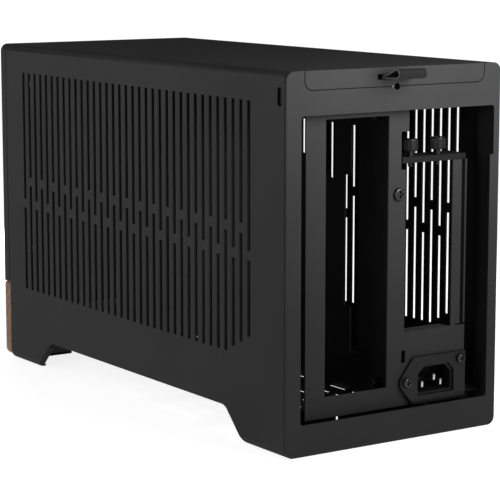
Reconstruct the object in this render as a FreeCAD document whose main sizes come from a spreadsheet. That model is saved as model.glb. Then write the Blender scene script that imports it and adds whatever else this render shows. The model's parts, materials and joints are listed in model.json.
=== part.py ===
import FreeCAD, Part
import math
import os
import re
import Sketcher

# A small-form-factor computer case for a mini-ITX board, in millimetres.
# The front is at -Y, the rear at +Y, and the case stands on z = 0.
# Side panels swing out on pins in their feet, the top cover tips up on pins near the front,
# and the spine that carries the board, the rear plate and the power supply slides across the case.
# Sketches are drawn about the middle of the case, and each sub-part's Placement then moves it
# so that the origin lies under the middle of the whole object, pull tab included.

SIZES = {
    # Outside of the case
    "case_depth": 343, "case_width": 153, "case_height": 218,
    "edge_radius": 5, "floor_gap": 0.5, "seam": 0.4, "round_margin": 0.1,
    "panel_sheet": 1.5, "frame_sheet": 1.2,
    # Side panels
    "front_depth": 7.8, "bend_lip": 1.5,
    "slot_pitch": 8, "slot_width": 3, "slot_pairs": 16, "slot_front": 33.8,
    "slot_bottom": 53, "slot_drop": 18, "slot_step": 4,
    "bridge": 6, "bridge_low": 108.7, "bridge_high": 123.8,
    "cutout_front": 66.5, "cutout_rear": 62.5, "cutout_height": 20, "cutout_round": 8,
    "catch_width": 4.8, "catch_height": 10.5, "catch_inset": 6.5, "catch_drop": 14,
    "catch_plate": 0.9, "catch_margin": 1, "edge_flange": 3.5, "edge_flange_drop": 4,
    # Panel hinges
    "pin_radius": 1.5, "pin_play": 0.08, "pin_end": 1.5,
    "ear_sheet": 1.5, "ear_reach": 8, "ear_height": 12, "ear_round": 2.5,
    "ear_front": 21.5, "ear_rear": 20, "ear_gap": 0.4,
    "bracket_sheet": 2, "bracket_round": 2.8, "bracket_width": 10.3, "bracket_foot": 10,
    # Panel studs and their grommets
    "stud_radius": 2, "stud_ball": 2.4, "stud_reach": 4.6, "stud_drop": 11.5,
    "stud_front": 51.5, "stud_rear": 31.5, "grommet_wall": 0.8, "grommet_play": 0.3, "grommet_lip": 0.4,
    # Frame: base pan, rear frame, front bulkhead and top rails
    "flange_gap": 1.3, "flange_depth": 13.7,
    "pan_height": 20, "pan_gap": 1.6, "foot_flange_level": 7.5, "foot_flange_width": 64,
    "foot_flange_depth": 24,
    "vent_width": 3.4, "vent_length": 18, "vent_row_pitch": 22, "vent_field_pitch": 60, "vent_fields": 5,
    "vent_front": 33.5, "vent_step": 12, "vent_columns": 10, "vent_inset": 24.5,
    "opening_inset": 10.2, "opening_inset_left": 6.8, "opening_bottom": 18.7, "opening_drop": 25,
    "opening_notch_height": 29, "opening_notch": 2.5, "opening_round": 2,
    "bulkhead_bottom": 13, "bulkhead_drop": 15, "window_inset": 26.5,
    "window_bottom": 64, "window_drop": 32, "window_round": 6,
    "rail_drop": 5.5, "rail_depth": 11.7, "rail_shelf": 6.7,
    # Feet
    "foot_inset": 10.7, "foot_length": 32.5, "foot_front": 11, "foot_rear": 11, "foot_width": 8.5,
    "foot_pad": 2, "foot_pad_inset": 0.8,
    # Top cover, its hinge and the pull tab
    "cover_gap": 0.9, "lip_inset": 12.5, "lip_depth": 10.7, "lip_round": 5,
    "lock_radius": 1.9, "hinge_back": 18, "hinge_drop": 4.5, "lug_sheet": 2, "lug_inset": 4.3,
    "lug_round": 2.7, "lug_length": 8, "lug_gap": 0.7, "rail_ear_round": 2.5, "rail_ear_length": 17,
    "rail_setback": 4,
    "bumper_radius": 3, "bumper_inset": 14, "bumper_gap": 0.3,
    "stop_inset": 1, "stop_drop": 4, "stop_rise": 2,
    "tab_width": 20, "tab_reach": 14.4, "ribbon": 1.2, "tab_drop": 6.5, "tab_rise": 4.4,
    "tab_slot_width": 28, "tab_slot_height": 3, "tab_anchor": 3, "tab_anchor_lip": 1.5,
    "tab_bend": 3.6, "tab_fold": 2.4, "tab_eye_near": 4.8, "tab_eye_drop": 2.64, "tab_eye_round": 0.6,
    # Front panel, wooden trim and front ports
    "front_setback": 1, "front_wall": 2, "boss_radius": 4, "boss_inset": 14.5, "boss_low": 76,
    "boss_drop": 28, "boss_hole": 1.25,
    "screw_head": 2.8, "screw_head_height": 2, "screw_shank": 1.2, "screw_play": 0.3,
    "trim_bottom": 2, "trim_top": 53.6, "trim_depth": 9, "trim_round": 2, "trim_screw_inset": 10.5,
    "trim_screw_level": 42, "trim_screw_depth": 6,
    "port_level": 28.2, "port_recess": 0.6, "port_play": 0.4, "shell_wall": 0.5,
    "usb_a_width": 13.1, "usb_a_height": 5.7, "usb_a_length": 19, "usb_a_first": 2, "usb_a_pitch": 18,
    "usb_c_width": 8.9, "usb_c_height": 3.2, "usb_c_length": 15, "usb_c_x": 39,
    "tongue": 1.4, "tongue_recess": 1.5, "tongue_inset": 1.5, "tongue_rise": 0.95,
    "button_inset": 19.5, "button_radius": 6, "button_proud": 0.6, "button_play": 0.3, "button_length": 8,
    "stem_radius": 2, "stem_length": 12, "button_travel": 1, "switch_size": 6, "switch_length": 4,
    "switch_gap": 0.2,
    "board_left": 12, "board_inset": 8.5, "board_depth": 20, "board_sheet": 1.6, "post_radius": 2.5,
    "post_inset": 5,
    # Spine: wall, rear plate, slot shelf, supply bracket
    "spine_x": 5, "spine_travel": 13.5, "spine_front": 136.5, "spine_drop": 23, "spine_gap": 0.3,
    "spine_foot": 24, "spine_foot_front": 138, "spine_foot_rear": 133, "spine_hem": 8, "hem_rear": 16,
    "recess": 7.5, "plate_inset": 18.5, "plate_inset_left": 18, "plate_bottom": 18.6, "plate_drop": 18.5,
    "io_edge": 0.3, "io_width": 44.45, "io_height": 158.75, "io_bottom": 30.9,
    "slot_edge": 12.9, "slot_opening": 35, "slot_floor": 62.4, "shelf_level": 161.5, "shelf_height": 3.6,
    "notch_edge": 9.5, "notch_bottom": 158, "notch_top": 180, "upper_edge": 15,
    "strip": 5.6, "channel_depth": 4, "relief": 0.9, "relief_run": 2.2, "slot_fold": 9,
    "shelf_depth": 16, "shelf_right": 10.4, "thumb_first": 18.6, "thumb_pitch": 20.32, "thumb_setback": 3.6,
    "thumb_head": 4.4, "thumb_height": 7.2, "thumb_neck": 3, "thumb_length": 9, "thumb_shank": 1.6,
    "thumb_collar": 2.1,
    "standoff_height": 6, "standoff_radius": 3, "standoff_hole": 1.3, "board_span_y": 154.94,
    "board_span_z": 157.48, "standoff_rear": 20.7, "standoff_bottom": 31.65,
    "wall_window_front": 50, "wall_window_mid": 56, "wall_window_rear": 42.5, "wall_window_low": 45,
    "wall_window_step": 72, "wall_window_high": 151, "wall_window_drop": 14,
    "sight_front": 106, "sight_rear": 66, "sight_low": 146, "sight_rise": 17,
    "cable_front": 194, "cable_width": 18, "cable_low": 60, "cable_high": 150, "cable_round": 4.5,
    "psu_x": 29.5, "psu_z": 86, "psu_span_x": 51.5, "psu_span_z": 113, "psu_hole": 1.8,
    "psu_edge": 4.2, "psu_foot": 14, "psu_window_x": 42, "psu_window_z": 96,
    "clamp_x": 20, "clamp_front": 143.5, "clamp_pitch": 60, "clamp_shank": 2, "clamp_head": 4.5,
    "clamp_head_height": 5, "clamp_nut": 4, "clamp_nut_height": 3, "clamp_play": 0.4,
    "plate_screw_x": 6.3, "plate_screw_level": 144, "plate_screw_head": 3.7,
    "key_x": 12.4, "key_level": 47.9, "key_width": 3, "key_height": 7.6, "key_round": 0.8,
    # Mains inlet
    "inlet_x": 35.5, "inlet_level": 32.5, "inlet_width": 27, "inlet_height": 17.5, "inlet_chamfer": 4.5,
    "inlet_wall": 1.8, "inlet_depth": 16, "inlet_floor": 2, "inlet_lip": 2, "inlet_ledge": 1.2,
    "flange_sheet": 2.2, "flange_tip": 7.2, "flange_tip_round": 5.5,
    "flange_shoulder": 18.5, "flange_round": 4, "flange_edge": 57.8, "flange_rise": 14.7,
    "inlet_screw_left": 13.5, "inlet_screw_right": 53.9, "inlet_screw_rise": 10.2, "inlet_screw_head": 2.9,
    "pin_pitch": 14, "pin_rise": 4.2, "pin_drop": 1.35, "earth_extra": 2.4, "pin_width": 2,
    "blade_height": 4, "pin_length": 12, "pin_tail": 8, "inlet_play": 0.2,
}

doc = FreeCAD.newDocument("mini_itx_case")
sheet = doc.addObject("Spreadsheet::Sheet", "Dims")
for row, (alias, size) in enumerate(SIZES.items(), start=1):
    sheet.set(f"A{row}", alias)
    sheet.set(f"B{row}", str(size))
    sheet.setAlias(f"B{row}", alias)
doc.recompute()

# Places that several sub-parts share, as expressions of the sheet's sizes
FRONT = "(-case_depth / 2)"
REAR = "(case_depth / 2)"
SIDE = "(case_width / 2)"
INNER = f"({SIDE} - panel_sheet)"
PIVOT_X = f"({SIDE} - edge_radius)"
PIVOT_Z = "(floor_gap + edge_radius)"
LIP_X = f"({PIVOT_X} - bend_lip)"
FLANGE_OUT = f"({INNER} - flange_gap)"
FLANGE_IN = f"({FLANGE_OUT} - frame_sheet)"
RAIL_IN = f"({FLANGE_IN} - frame_sheet)"
PANEL_FRONT = f"({FRONT} + front_depth + seam)"
FRAME_IN = f"({REAR} - panel_sheet)"
PANEL_REAR = f"({FRAME_IN} - seam)"
BULK_FACE = f"({FRONT} + trim_depth)"
BULK_BACK = f"({BULK_FACE} + frame_sheet)"
PAN_TOP = "(pan_height + frame_sheet)"
PLATE_OUT = f"({REAR} - recess)"
PLATE_IN = f"({PLATE_OUT} - frame_sheet)"
PAN_REAR = f"({PLATE_IN} - pan_gap)"
COVER_UNDER = "(case_height - panel_sheet)"
SLOT_TOP = "(case_height - slot_drop)"
CATCH_Y = f"({REAR} - catch_inset)"
CATCH_Z = "(case_height - catch_drop)"
STUD_Z = "(case_height - stud_drop)"
OPENING_TOP = "(case_height - opening_drop)"
RAIL_TOP = "(case_height - rail_drop)"
TAB_Z = "(case_height - tab_drop)"
LIP_HALF = f"({SIDE} - lip_inset)"
BUTTON_X = f"({SIDE} - button_inset)"
BOARD_RIGHT = f"({SIDE} - board_inset)"
PLATE_RIGHT = f"({SIDE} - plate_inset)"
PLATE_LEFT = f"(plate_inset_left - {SIDE})"
PLATE_TOP = "(case_height - plate_drop)"
SPINE_TOP = "(case_height - spine_drop)"
WINDOW_TOP = f"({SPINE_TOP} - wall_window_drop)"
COVER_FRONT = f"({FRONT} + front_depth + cover_gap)"
HINGE_Y = f"({COVER_FRONT} + hinge_back)"
HINGE_Z = "(case_height - hinge_drop)"
SHELF_FRONT = f"({HINGE_Y} + rail_setback)"
SPINE_IN = "(-spine_x - frame_sheet)"
SPINE_FLOOR = f"({PAN_TOP} + spine_gap)"
LUG_OUT = f"({LIP_X} - lug_inset)"
EAR_IN = f"({LUG_OUT} + lug_gap)"
GROMMET_OUT = "(stud_ball + grommet_play + grommet_wall)"
THUMB_Y = f"({PLATE_OUT} - thumb_setback)"
PORT_SEAT = "(port_level - usb_a_height / 2)"
HEX_RISE = math.sqrt(3) / 2


def bound(text):
    """The expression with every size name pointed at its cell."""
    return re.sub(r"[a-z][a-z_]*", lambda word: "Dims." + word.group(), text)


def number(text):
    """The present value of an expression of the sheet's sizes."""
    return float(sheet.evalExpression(bound(text)))


class Piece:
    """One sub-part: a PartDesign body built from sketches on its own origin planes.

    A closed line is a list of corners (x, y) or (x, y, radius); a circle is a tuple (x, y, radius).
    XZ sketches face -Y, so their pads run backwards from the high end.
    """

    def __init__(self, label):
        self.body = doc.addObject("PartDesign::Body", label)
        self.body.Label = label
        self.body.AllowCompound = True
        self.body.setExpression("Placement.Base.y", bound("-tab_reach / 2"))

    def origin(self, role):
        return next(item for item in self.body.Origin.OriginFeatures if item.Role == role)

    def sketch(self, plane, level, loops):
        sketch = self.body.newObject("Sketcher::SketchObject", f"{self.body.Name}_sketch")
        sketch.AttachmentSupport = [(self.origin(f"{plane}_Plane"), "")]
        sketch.MapMode = "FlatFace"
        side = "-1" if plane == "XZ" else "1"
        sketch.setExpression("AttachmentOffset.Base.z", bound(f"{side} * ({level})"))
        for loop in loops:
            if isinstance(loop, tuple):
                draw_circle(sketch, *loop)
            else:
                draw_corners(sketch, loop)
        return sketch

    def feature(self, kind, plane, start, low, high, loops):
        sketch = self.sketch(plane, start, loops)
        feature = self.body.newObject(f"PartDesign::{kind}", f"{self.body.Name}_{kind.lower()}")
        feature.Profile = sketch
        feature.setExpression("Length", bound(f"{high} - ({low})"))
        doc.recompute()
        return feature

    def pad(self, plane, low, high, loops):
        """Add the profile between two levels along the plane's own axis."""
        return self.feature("Pad", plane, high if plane == "XZ" else low, low, high, loops)

    def pocket(self, plane, low, high, loops):
        """Cut the profile between two levels, and make sure that it cut something."""
        before = self.body.Shape.Volume
        cut = self.feature("Pocket", plane, low if plane == "XZ" else high, low, high, loops)
        if self.body.Shape.Volume > before - 1e-6:
            raise RuntimeError(f"{self.body.Label}: a pocket cut nothing")
        return cut

    def repeat(self, feature, axis, pitch, count, axis_two=None, pitch_two=None, count_two=None):
        """Copy a feature along one axis, or over a grid of two."""
        pattern = self.body.newObject("PartDesign::LinearPattern", f"{self.body.Name}_pattern")
        pattern.Originals = [feature]
        pattern.Direction = (self.origin(f"{axis}_Axis"), [""])
        pattern.setExpression("Length", bound(f"({pitch}) * ({count} - 1)"))
        pattern.setExpression("Occurrences", bound(count))
        if axis_two:
            pattern.Direction2 = (self.origin(f"{axis_two}_Axis"), [""])
            pattern.setExpression("Length2", bound(f"({pitch_two}) * ({count_two} - 1)"))
            pattern.setExpression("Occurrences2", bound(count_two))
        self.body.Tip = pattern
        doc.recompute()

    def round_edges(self, radius, chosen):
        """Fillet the edges of the body that the test picks."""
        tip = self.body.Tip
        names = [f"Edge{i}" for i, edge in enumerate(tip.Shape.Edges, start=1) if chosen(edge)]
        fillet = self.body.newObject("PartDesign::Fillet", f"{self.body.Name}_fillet")
        fillet.Base = (tip, names)
        fillet.setExpression("Radius", bound(radius))
        doc.recompute()


def fix_point(sketch, item, end, x, y):
    """Tie a point of a sketch to its place from the sketch's origin."""
    for kind, text in (("DistanceX", x), ("DistanceY", y)):
        index = sketch.addConstraint(Sketcher.Constraint(kind, -1, 1, item, end, number(text)))
        sketch.setExpression(f"Constraints[{index}]", bound(text))


def fix_radius(sketch, item, radius):
    index = sketch.addConstraint(Sketcher.Constraint("Radius", item, number(radius)))
    sketch.setExpression(f"Constraints[{index}]", bound(radius))


def draw_circle(sketch, x, y, radius):
    centre = FreeCAD.Vector(number(x), number(y), 0)
    circle = Part.Circle(centre, FreeCAD.Vector(0, 0, 1), number(radius))
    item = sketch.addGeometry(circle, False)
    fix_point(sketch, item, 3, x, y)
    fix_radius(sketch, item, radius)


def draw_corners(sketch, corners):
    """Draw a closed line through the corners; a corner with a radius becomes a tangent arc."""
    count = len(corners)
    spots = [FreeCAD.Vector(number(corner[0]), number(corner[1]), 0) for corner in corners]
    starts, ends, arcs = list(spots), list(spots), {}
    for i, corner in enumerate(corners):
        if len(corner) < 3:
            continue
        radius = number(corner[2])
        back = (spots[i - 1] - spots[i]).normalize()
        ahead = (spots[(i + 1) % count] - spots[i]).normalize()
        half = back.getAngle(ahead) / 2
        ends[i] = spots[i] + back * (radius / math.tan(half))
        starts[i] = spots[i] + ahead * (radius / math.tan(half))
        centre = spots[i] + (back + ahead).normalize() * (radius / math.sin(half))
        left_turn = back.cross(ahead).z < 0
        first, last = (ends[i], starts[i]) if left_turn else (starts[i], ends[i])
        angles = [math.atan2(spot.y - centre.y, spot.x - centre.x) for spot in (first, last)]
        circle = Part.Circle(centre, FreeCAD.Vector(0, 0, 1), radius)
        arcs[i] = (Part.ArcOfCircle(circle, *angles), left_turn)
    lines = []
    for i in range(count):
        segment = Part.LineSegment(starts[i], ends[(i + 1) % count])
        lines.append(sketch.addGeometry(segment, False))
    for i, corner in enumerate(corners):
        before, after = lines[i - 1], lines[i]
        if i not in arcs:
            sketch.addConstraint(Sketcher.Constraint("Coincident", before, 2, after, 1))
            fix_point(sketch, after, 1, corner[0], corner[1])
            continue
        arc, left_turn = arcs[i]
        item = sketch.addGeometry(arc, False)
        entry, leave = (1, 2) if left_turn else (2, 1)
        sketch.addConstraint(Sketcher.Constraint("Tangent", before, 2, item, entry))
        sketch.addConstraint(Sketcher.Constraint("Tangent", item, leave, after, 1))
        fix_radius(sketch, item, corner[2])
        apex = sketch.addGeometry(Part.Point(spots[i]), True)
        fix_point(sketch, apex, 1, corner[0], corner[1])
        sketch.addConstraint(Sketcher.Constraint("PointOnObject", apex, 1, before))
        sketch.addConstraint(Sketcher.Constraint("PointOnObject", apex, 1, after))


def box(left, right, low, high, *radius):
    """Four corners, rounded alike where a radius is given."""
    return [(left, low, *radius), (right, low, *radius), (right, high, *radius), (left, high, *radius)]


def mirrored(source, label):
    """The same sub-part for the other side of the case."""
    twin = doc.addObject("Part::Mirroring", label)
    twin.Label = label
    twin.Source = source.body
    twin.Normal = FreeCAD.Vector(1, 0, 0)


# Side panels: one folded sheet with the slotted grille and two hinge ears


def make_side_panels():
    panel = Piece("right_side_panel")
    bend = "edge_radius - panel_sheet"
    top_face, foot_face = COVER_UNDER, "floor_gap + panel_sheet"
    panel.pad("XZ", PANEL_FRONT, PANEL_REAR, [[
        (LIP_X, "floor_gap"), (SIDE, "floor_gap", "edge_radius"),
        (SIDE, "case_height", "edge_radius"), (LIP_X, "case_height"),
        (LIP_X, top_face), (INNER, top_face, bend),
        (INNER, foot_face, bend), (LIP_X, foot_face),
    ]])
    through = (f"{LIP_X} - panel_sheet", f"{SIDE} + panel_sheet")
    front, rear = f"{FRONT} + cutout_front", f"{REAR} - cutout_rear"
    panel.pocket("YZ", *through, [[
        (f"{front} - cutout_height - seam", "-seam"), (f"{rear} + cutout_height + seam", "-seam"),
        (rear, "cutout_height", "cutout_round"), (front, "cutout_height", "cutout_round"),
    ]])
    panel.pocket("YZ", *through, [box(
        f"{PANEL_FRONT} - seam", f"{BULK_FACE} + seam", "-seam", "trim_top + seam")])
    wall = (f"{INNER} - seam", f"{SIDE} + seam")
    pair = panel.pocket("YZ", *wall, slot("0", "0") + slot("1", "0"))
    panel.repeat(pair, "Y", "2 * slot_pitch", "slot_pairs")
    rising = [slot(f"2 * slot_pairs + {i}", f"{i + 1} * slot_step") for i in range(3)]
    panel.pocket("YZ", *wall, rising[0] + rising[1] + rising[2])
    panel.pocket("YZ", *wall, [catch_box("0", "catch_width / 2 - round_margin")])
    foot, crown = foot_face, "(cutout_height - edge_flange_drop)"
    for edge, away in ((front, "-1"), (rear, "1")):
        start, end = (f"{edge} + {away} * (cutout_height - ({level}))" for level in (foot, crown))
        sheet_run = f"{away} * panel_sheet * {math.sqrt(2)}"
        panel.pad("YZ", f"{INNER} - edge_flange", INNER, [[
            (start, foot), (end, crown), (f"{end} + {sheet_run}", crown), (f"{start} + {sheet_run}", foot)]])
    middle = "panel_sheet / 2"
    for low, high in ear_spans():
        panel.pad("XZ", low, high, [[
            (f"{SIDE} - ear_reach", "ear_height"),
            (f"{SIDE} - ear_reach", f"floor_gap + {middle}", "ear_round"),
            (f"{SIDE} - {middle}", f"floor_gap + {middle}", f"edge_radius - {middle}"),
            (f"{SIDE} - {middle}", "ear_height"),
        ]])
        panel.pocket("XZ", low, high, [(PIVOT_X, PIVOT_Z, "pin_radius + pin_play")])
    mirrored(panel, "left_side_panel")

    studs = Piece("right_panel_studs")
    tip = f"({INNER} - stud_reach)"
    places = [(y, STUD_Z, "stud_radius") for y in stud_places()]
    balls = [(y, STUD_Z, "stud_ball") for y in stud_places()]
    studs.pad("YZ", f"{tip} + stud_radius", INNER, places)
    studs.pad("YZ", tip, f"{tip} + stud_radius", balls)
    mirrored(studs, "left_panel_studs")


def slot(index, rise):
    """The two openings of one grille slot; odd slots carry their bridge higher up."""
    middle = f"({FRONT} + slot_front + ({index}) * slot_pitch)"
    sides = (f"{middle} - slot_width / 2", f"{middle} + slot_width / 2")
    odd = index[-1] == "1"
    bridge = "bridge_high" if odd else "bridge_low"
    return [box(*sides, f"slot_bottom + {rise}", bridge), box(*sides, f"{bridge} + bridge", SLOT_TOP)]


def catch_box(grow, *radius):
    """The outline of the catch slot, larger by a margin all round."""
    half, rise = f"(catch_width / 2 + {grow})", f"(catch_height / 2 + {grow})"
    return box(f"{CATCH_Y} - {half}", f"{CATCH_Y} + {half}",
               f"{CATCH_Z} - {rise}", f"{CATCH_Z} + {rise}", *radius)


def ear_spans():
    """Where the front and the rear hinge ear of a panel lie along Y."""
    front, rear = f"({FRONT} + ear_front)", f"({REAR} - ear_rear)"
    return (front, f"({front} + ear_sheet)"), (f"({rear} - ear_sheet)", rear)


def stud_places():
    return f"({FRONT} + stud_front)", f"({REAR} - stud_rear)"


# Frame: pan, rear frame, bulkhead, rails, hinge brackets, feet


def make_base_pan():
    pan = Piece("base_pan")
    half = f"({PIVOT_X} + bracket_round)"
    pan.pad("XY", "pan_height", PAN_TOP, [box(f"-{half}", half, BULK_BACK, PAN_REAR)])
    pan.pad("XZ", f"{PAN_REAR} - frame_sheet", PAN_REAR, [box(
        "-foot_flange_width / 2", "foot_flange_width / 2",
        "foot_flange_level + frame_sheet", PAN_TOP)])
    start = f"(vent_inset - {SIDE})"
    sides = (f"{start} - vent_width / 2", f"{start} + vent_width / 2")
    rows = (f"{FRONT} + vent_front", f"{FRONT} + vent_front + vent_row_pitch")
    pair = pan.pocket("XY", "pan_height", PAN_TOP, [
        box(*sides, row, f"{row} + vent_length") for row in rows])
    pan.repeat(pair, "Y", "vent_field_pitch", "vent_fields", "X", "vent_step", "vent_columns")
    reach = "(spine_travel + clamp_shank + clamp_play)"
    pan.pocket("XY", "pan_height", PAN_TOP, [
        box(f"-clamp_x - {reach}", f"-clamp_x + {reach}",
            f"{y} - clamp_shank - clamp_play", f"{y} + clamp_shank + clamp_play") for y in clamp_places()])


def make_rear_frame():
    frame = Piece("rear_frame")
    notch = f"({LIP_HALF} + seam)"
    notch_floor = "(case_height - lip_depth - seam)"
    right, left = f"({SIDE} - opening_inset)", f"(opening_inset_left - {SIDE})"
    step = f"{OPENING_TOP} - opening_notch_height"
    opening = [
        (right, "opening_bottom", "opening_round"), (right, OPENING_TOP, "opening_round"),
        (f"{left} - opening_notch", OPENING_TOP, "opening_round"),
        (f"{left} - opening_notch", step), (left, step), (left, "opening_bottom", "opening_round"),
    ]
    frame.pad("XZ", FRAME_IN, REAR, [[
        (f"-{SIDE}", "floor_gap", "edge_radius"), (SIDE, "floor_gap", "edge_radius"),
        (SIDE, "case_height", "edge_radius"), (notch, "case_height"),
        (notch, notch_floor, "lip_round + seam"), (f"-{notch}", notch_floor, "lip_round + seam"),
        (f"-{notch}", "case_height"), (f"-{SIDE}", "case_height", "edge_radius"),
    ], opening])
    stop_face, stop_back = f"({FRAME_IN} - seam)", f"({FRAME_IN} - seam - frame_sheet)"
    stop_low, stop_high = f"({notch_floor} - stop_drop)", f"({notch_floor} + stop_rise)"
    frame.pad("YZ", f"stop_inset - {LIP_HALF}", f"{LIP_HALF} - stop_inset", [[
        (FRAME_IN, stop_low), (FRAME_IN, f"{notch_floor} - seam"), (stop_face, f"{notch_floor} - seam"),
        (stop_face, stop_high), (stop_back, stop_high), (stop_back, stop_low),
    ]])
    frame.pocket("XZ", stop_back, REAR, [("0", notch_floor, "lock_radius")])
    for left, right in ((FLANGE_IN, FLANGE_OUT), (f"-{FLANGE_OUT}", f"-{FLANGE_IN}")):
        frame.pad("XY", f"{PAN_TOP} + seam", RAIL_TOP, [
            box(left, right, f"{FRAME_IN} - flange_depth", FRAME_IN)])
    proud = f"({FLANGE_OUT} + catch_plate)"
    for low, high in ((FLANGE_OUT, proud), (f"-{proud}", f"-{FLANGE_OUT}")):
        frame.pad("YZ", low, high, [catch_box("catch_margin")])
    frame.pad("XY", "foot_flange_level", "foot_flange_level + frame_sheet", [box(
        "-foot_flange_width / 2", "foot_flange_width / 2", f"{FRAME_IN} - foot_flange_depth", FRAME_IN)])


def make_front_bulkhead():
    bulkhead = Piece("front_bulkhead")
    bulkhead.pad("XZ", BULK_FACE, BULK_BACK, [
        box(f"-{FLANGE_OUT}", FLANGE_OUT, "bulkhead_bottom", "case_height - bulkhead_drop"),
        box(f"window_inset - {SIDE}", f"{SIDE} - window_inset",
            "window_bottom", "case_height - window_drop", "window_round"),
    ])
    for left, right in ((FLANGE_IN, FLANGE_OUT), (f"-{FLANGE_OUT}", f"-{FLANGE_IN}")):
        bulkhead.pad("XY", PAN_TOP, RAIL_TOP, [box(left, right, BULK_FACE, f"{BULK_BACK} + flange_depth")])
    bulkhead.pocket("XZ", BULK_FACE, BULK_BACK, [
        (x, z, "screw_shank + screw_play") for x, z in boss_places() + trim_screw_places()])
    bulkhead.pocket("XZ", BULK_FACE, BULK_BACK, [box(
        "usb_a_first - usb_a_width", f"{BUTTON_X} + button_radius",
        f"{PAN_TOP} + seam", "port_level + usb_a_height")])


def make_top_rails():
    rail = Piece("right_top_rail")
    shelf_in = f"({RAIL_IN} - rail_shelf + frame_sheet)"
    rail_bottom, shelf_under = f"{RAIL_TOP} - rail_depth", f"{RAIL_TOP} - frame_sheet"
    rail.pad("XZ", f"{BULK_BACK} + seam", FRAME_IN, [[
        (RAIL_IN, rail_bottom), (FLANGE_IN, rail_bottom), (FLANGE_IN, RAIL_TOP),
        (shelf_in, RAIL_TOP), (shelf_in, shelf_under), (RAIL_IN, shelf_under),
    ]])
    rail.pocket("XY", shelf_under, RAIL_TOP, [
        box(f"{shelf_in} - seam", RAIL_IN, BULK_BACK, SHELF_FRONT)])
    rail.pocket("YZ", RAIL_IN, FLANGE_IN, [(y, STUD_Z, GROMMET_OUT) for y in stud_places()])
    ear_out = f"({EAR_IN} + lug_sheet)"
    top, bottom = f"({HINGE_Z} + rail_ear_round)", f"({HINGE_Z} - rail_ear_round)"
    nose = f"({HINGE_Y} - rail_ear_round)"
    shelf_middle = f"{RAIL_TOP} - frame_sheet / 2"
    rail.pad("YZ", EAR_IN, ear_out, [[
        (nose, bottom, "rail_ear_round - round_margin"), (SHELF_FRONT, bottom), (SHELF_FRONT, shelf_middle),
        (f"{HINGE_Y} + rail_ear_length", shelf_middle), (f"{HINGE_Y} + rail_ear_length", top),
        (nose, top, "rail_ear_round - round_margin"),
    ]])
    rail.pocket("YZ", EAR_IN, ear_out, [(HINGE_Y, HINGE_Z, "pin_radius + pin_play")])
    mirrored(rail, "left_top_rail")

    pins = Piece("cover_hinge_pins")
    inner_end, outer_end = f"({LUG_OUT} - lug_sheet - pin_end)", f"({ear_out} + pin_end)"
    pins.pad("YZ", inner_end, outer_end, [(HINGE_Y, HINGE_Z, "pin_radius")])
    pins.pad("YZ", f"-{outer_end}", f"-{inner_end}", [(HINGE_Y, HINGE_Z, "pin_radius")])

    bumpers = Piece("cover_bumpers")
    middle = f"(({shelf_in} + {RAIL_IN}) / 2)"
    places = [(x, f"{FRAME_IN} - bumper_inset", "bumper_radius") for x in (middle, f"-{middle}")]
    bumpers.pad("XY", RAIL_TOP, f"{COVER_UNDER} - bumper_gap", places)

    grommets = Piece("right_stud_grommets")
    for low, high, lip in (("-grommet_lip", "0", "grommet_wall"), ("0", "frame_sheet", "-pin_play"),
                           ("frame_sheet", "frame_sheet + grommet_lip", "grommet_wall")):
        grommets.pad("YZ", f"{RAIL_IN} + {low}", f"{RAIL_IN} + {high}", [
            (y, STUD_Z, f"{GROMMET_OUT} + {lip}") for y in stud_places()])
    grommets.pocket("YZ", f"{RAIL_IN} - grommet_lip", f"{FLANGE_IN} + grommet_lip", [
        (y, STUD_Z, "stud_ball + grommet_play") for y in stud_places()])
    mirrored(grommets, "left_stud_grommets")


def make_hinge_brackets():
    (front_low, front_high), (rear_low, rear_high) = ear_spans()
    inner, outer = f"({PIVOT_X} - bracket_round)", f"({PIVOT_X} + bracket_round)"
    front_plate = (f"({front_high} + ear_gap)", f"({front_high} + ear_gap + bracket_sheet)")
    rear_plate = (f"({rear_low} - ear_gap - bracket_sheet)", f"({rear_low} - ear_gap)")
    front_foot = (front_plate[1], f"{front_plate[1]} + bracket_foot")
    rear_foot = (f"{rear_plate[0]} - bracket_foot", rear_plate[0])
    for name, plate, foot in (("front", front_plate, front_foot), ("rear", rear_plate, rear_foot)):
        bracket = Piece(f"right_{name}_hinge_bracket")
        bracket.pad("XZ", *plate, [[
            (inner, f"{PIVOT_Z} - bracket_round", "bracket_round - round_margin"),
            (outer, f"{PIVOT_Z} - bracket_round", "bracket_round - round_margin"),
            (outer, "pan_height"), (inner, "pan_height"),
        ]])
        bracket.pad("XY", "pan_height - bracket_sheet", "pan_height", [
            box(f"{outer} - bracket_width", outer, *foot)])
        bracket.pocket("XZ", *plate, [(PIVOT_X, PIVOT_Z, "pin_radius + pin_play")])
        mirrored(bracket, f"left_{name}_hinge_bracket")
    pins = Piece("panel_hinge_pins")
    circles = [(PIVOT_X, PIVOT_Z, "pin_radius"), (f"-{PIVOT_X}", PIVOT_Z, "pin_radius")]
    pins.pad("XZ", f"{front_low} - pin_end", f"{front_plate[1]} + pin_end", circles)
    pins.pad("XZ", f"{rear_plate[0]} - pin_end", f"{rear_high} + pin_end", circles)


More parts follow.
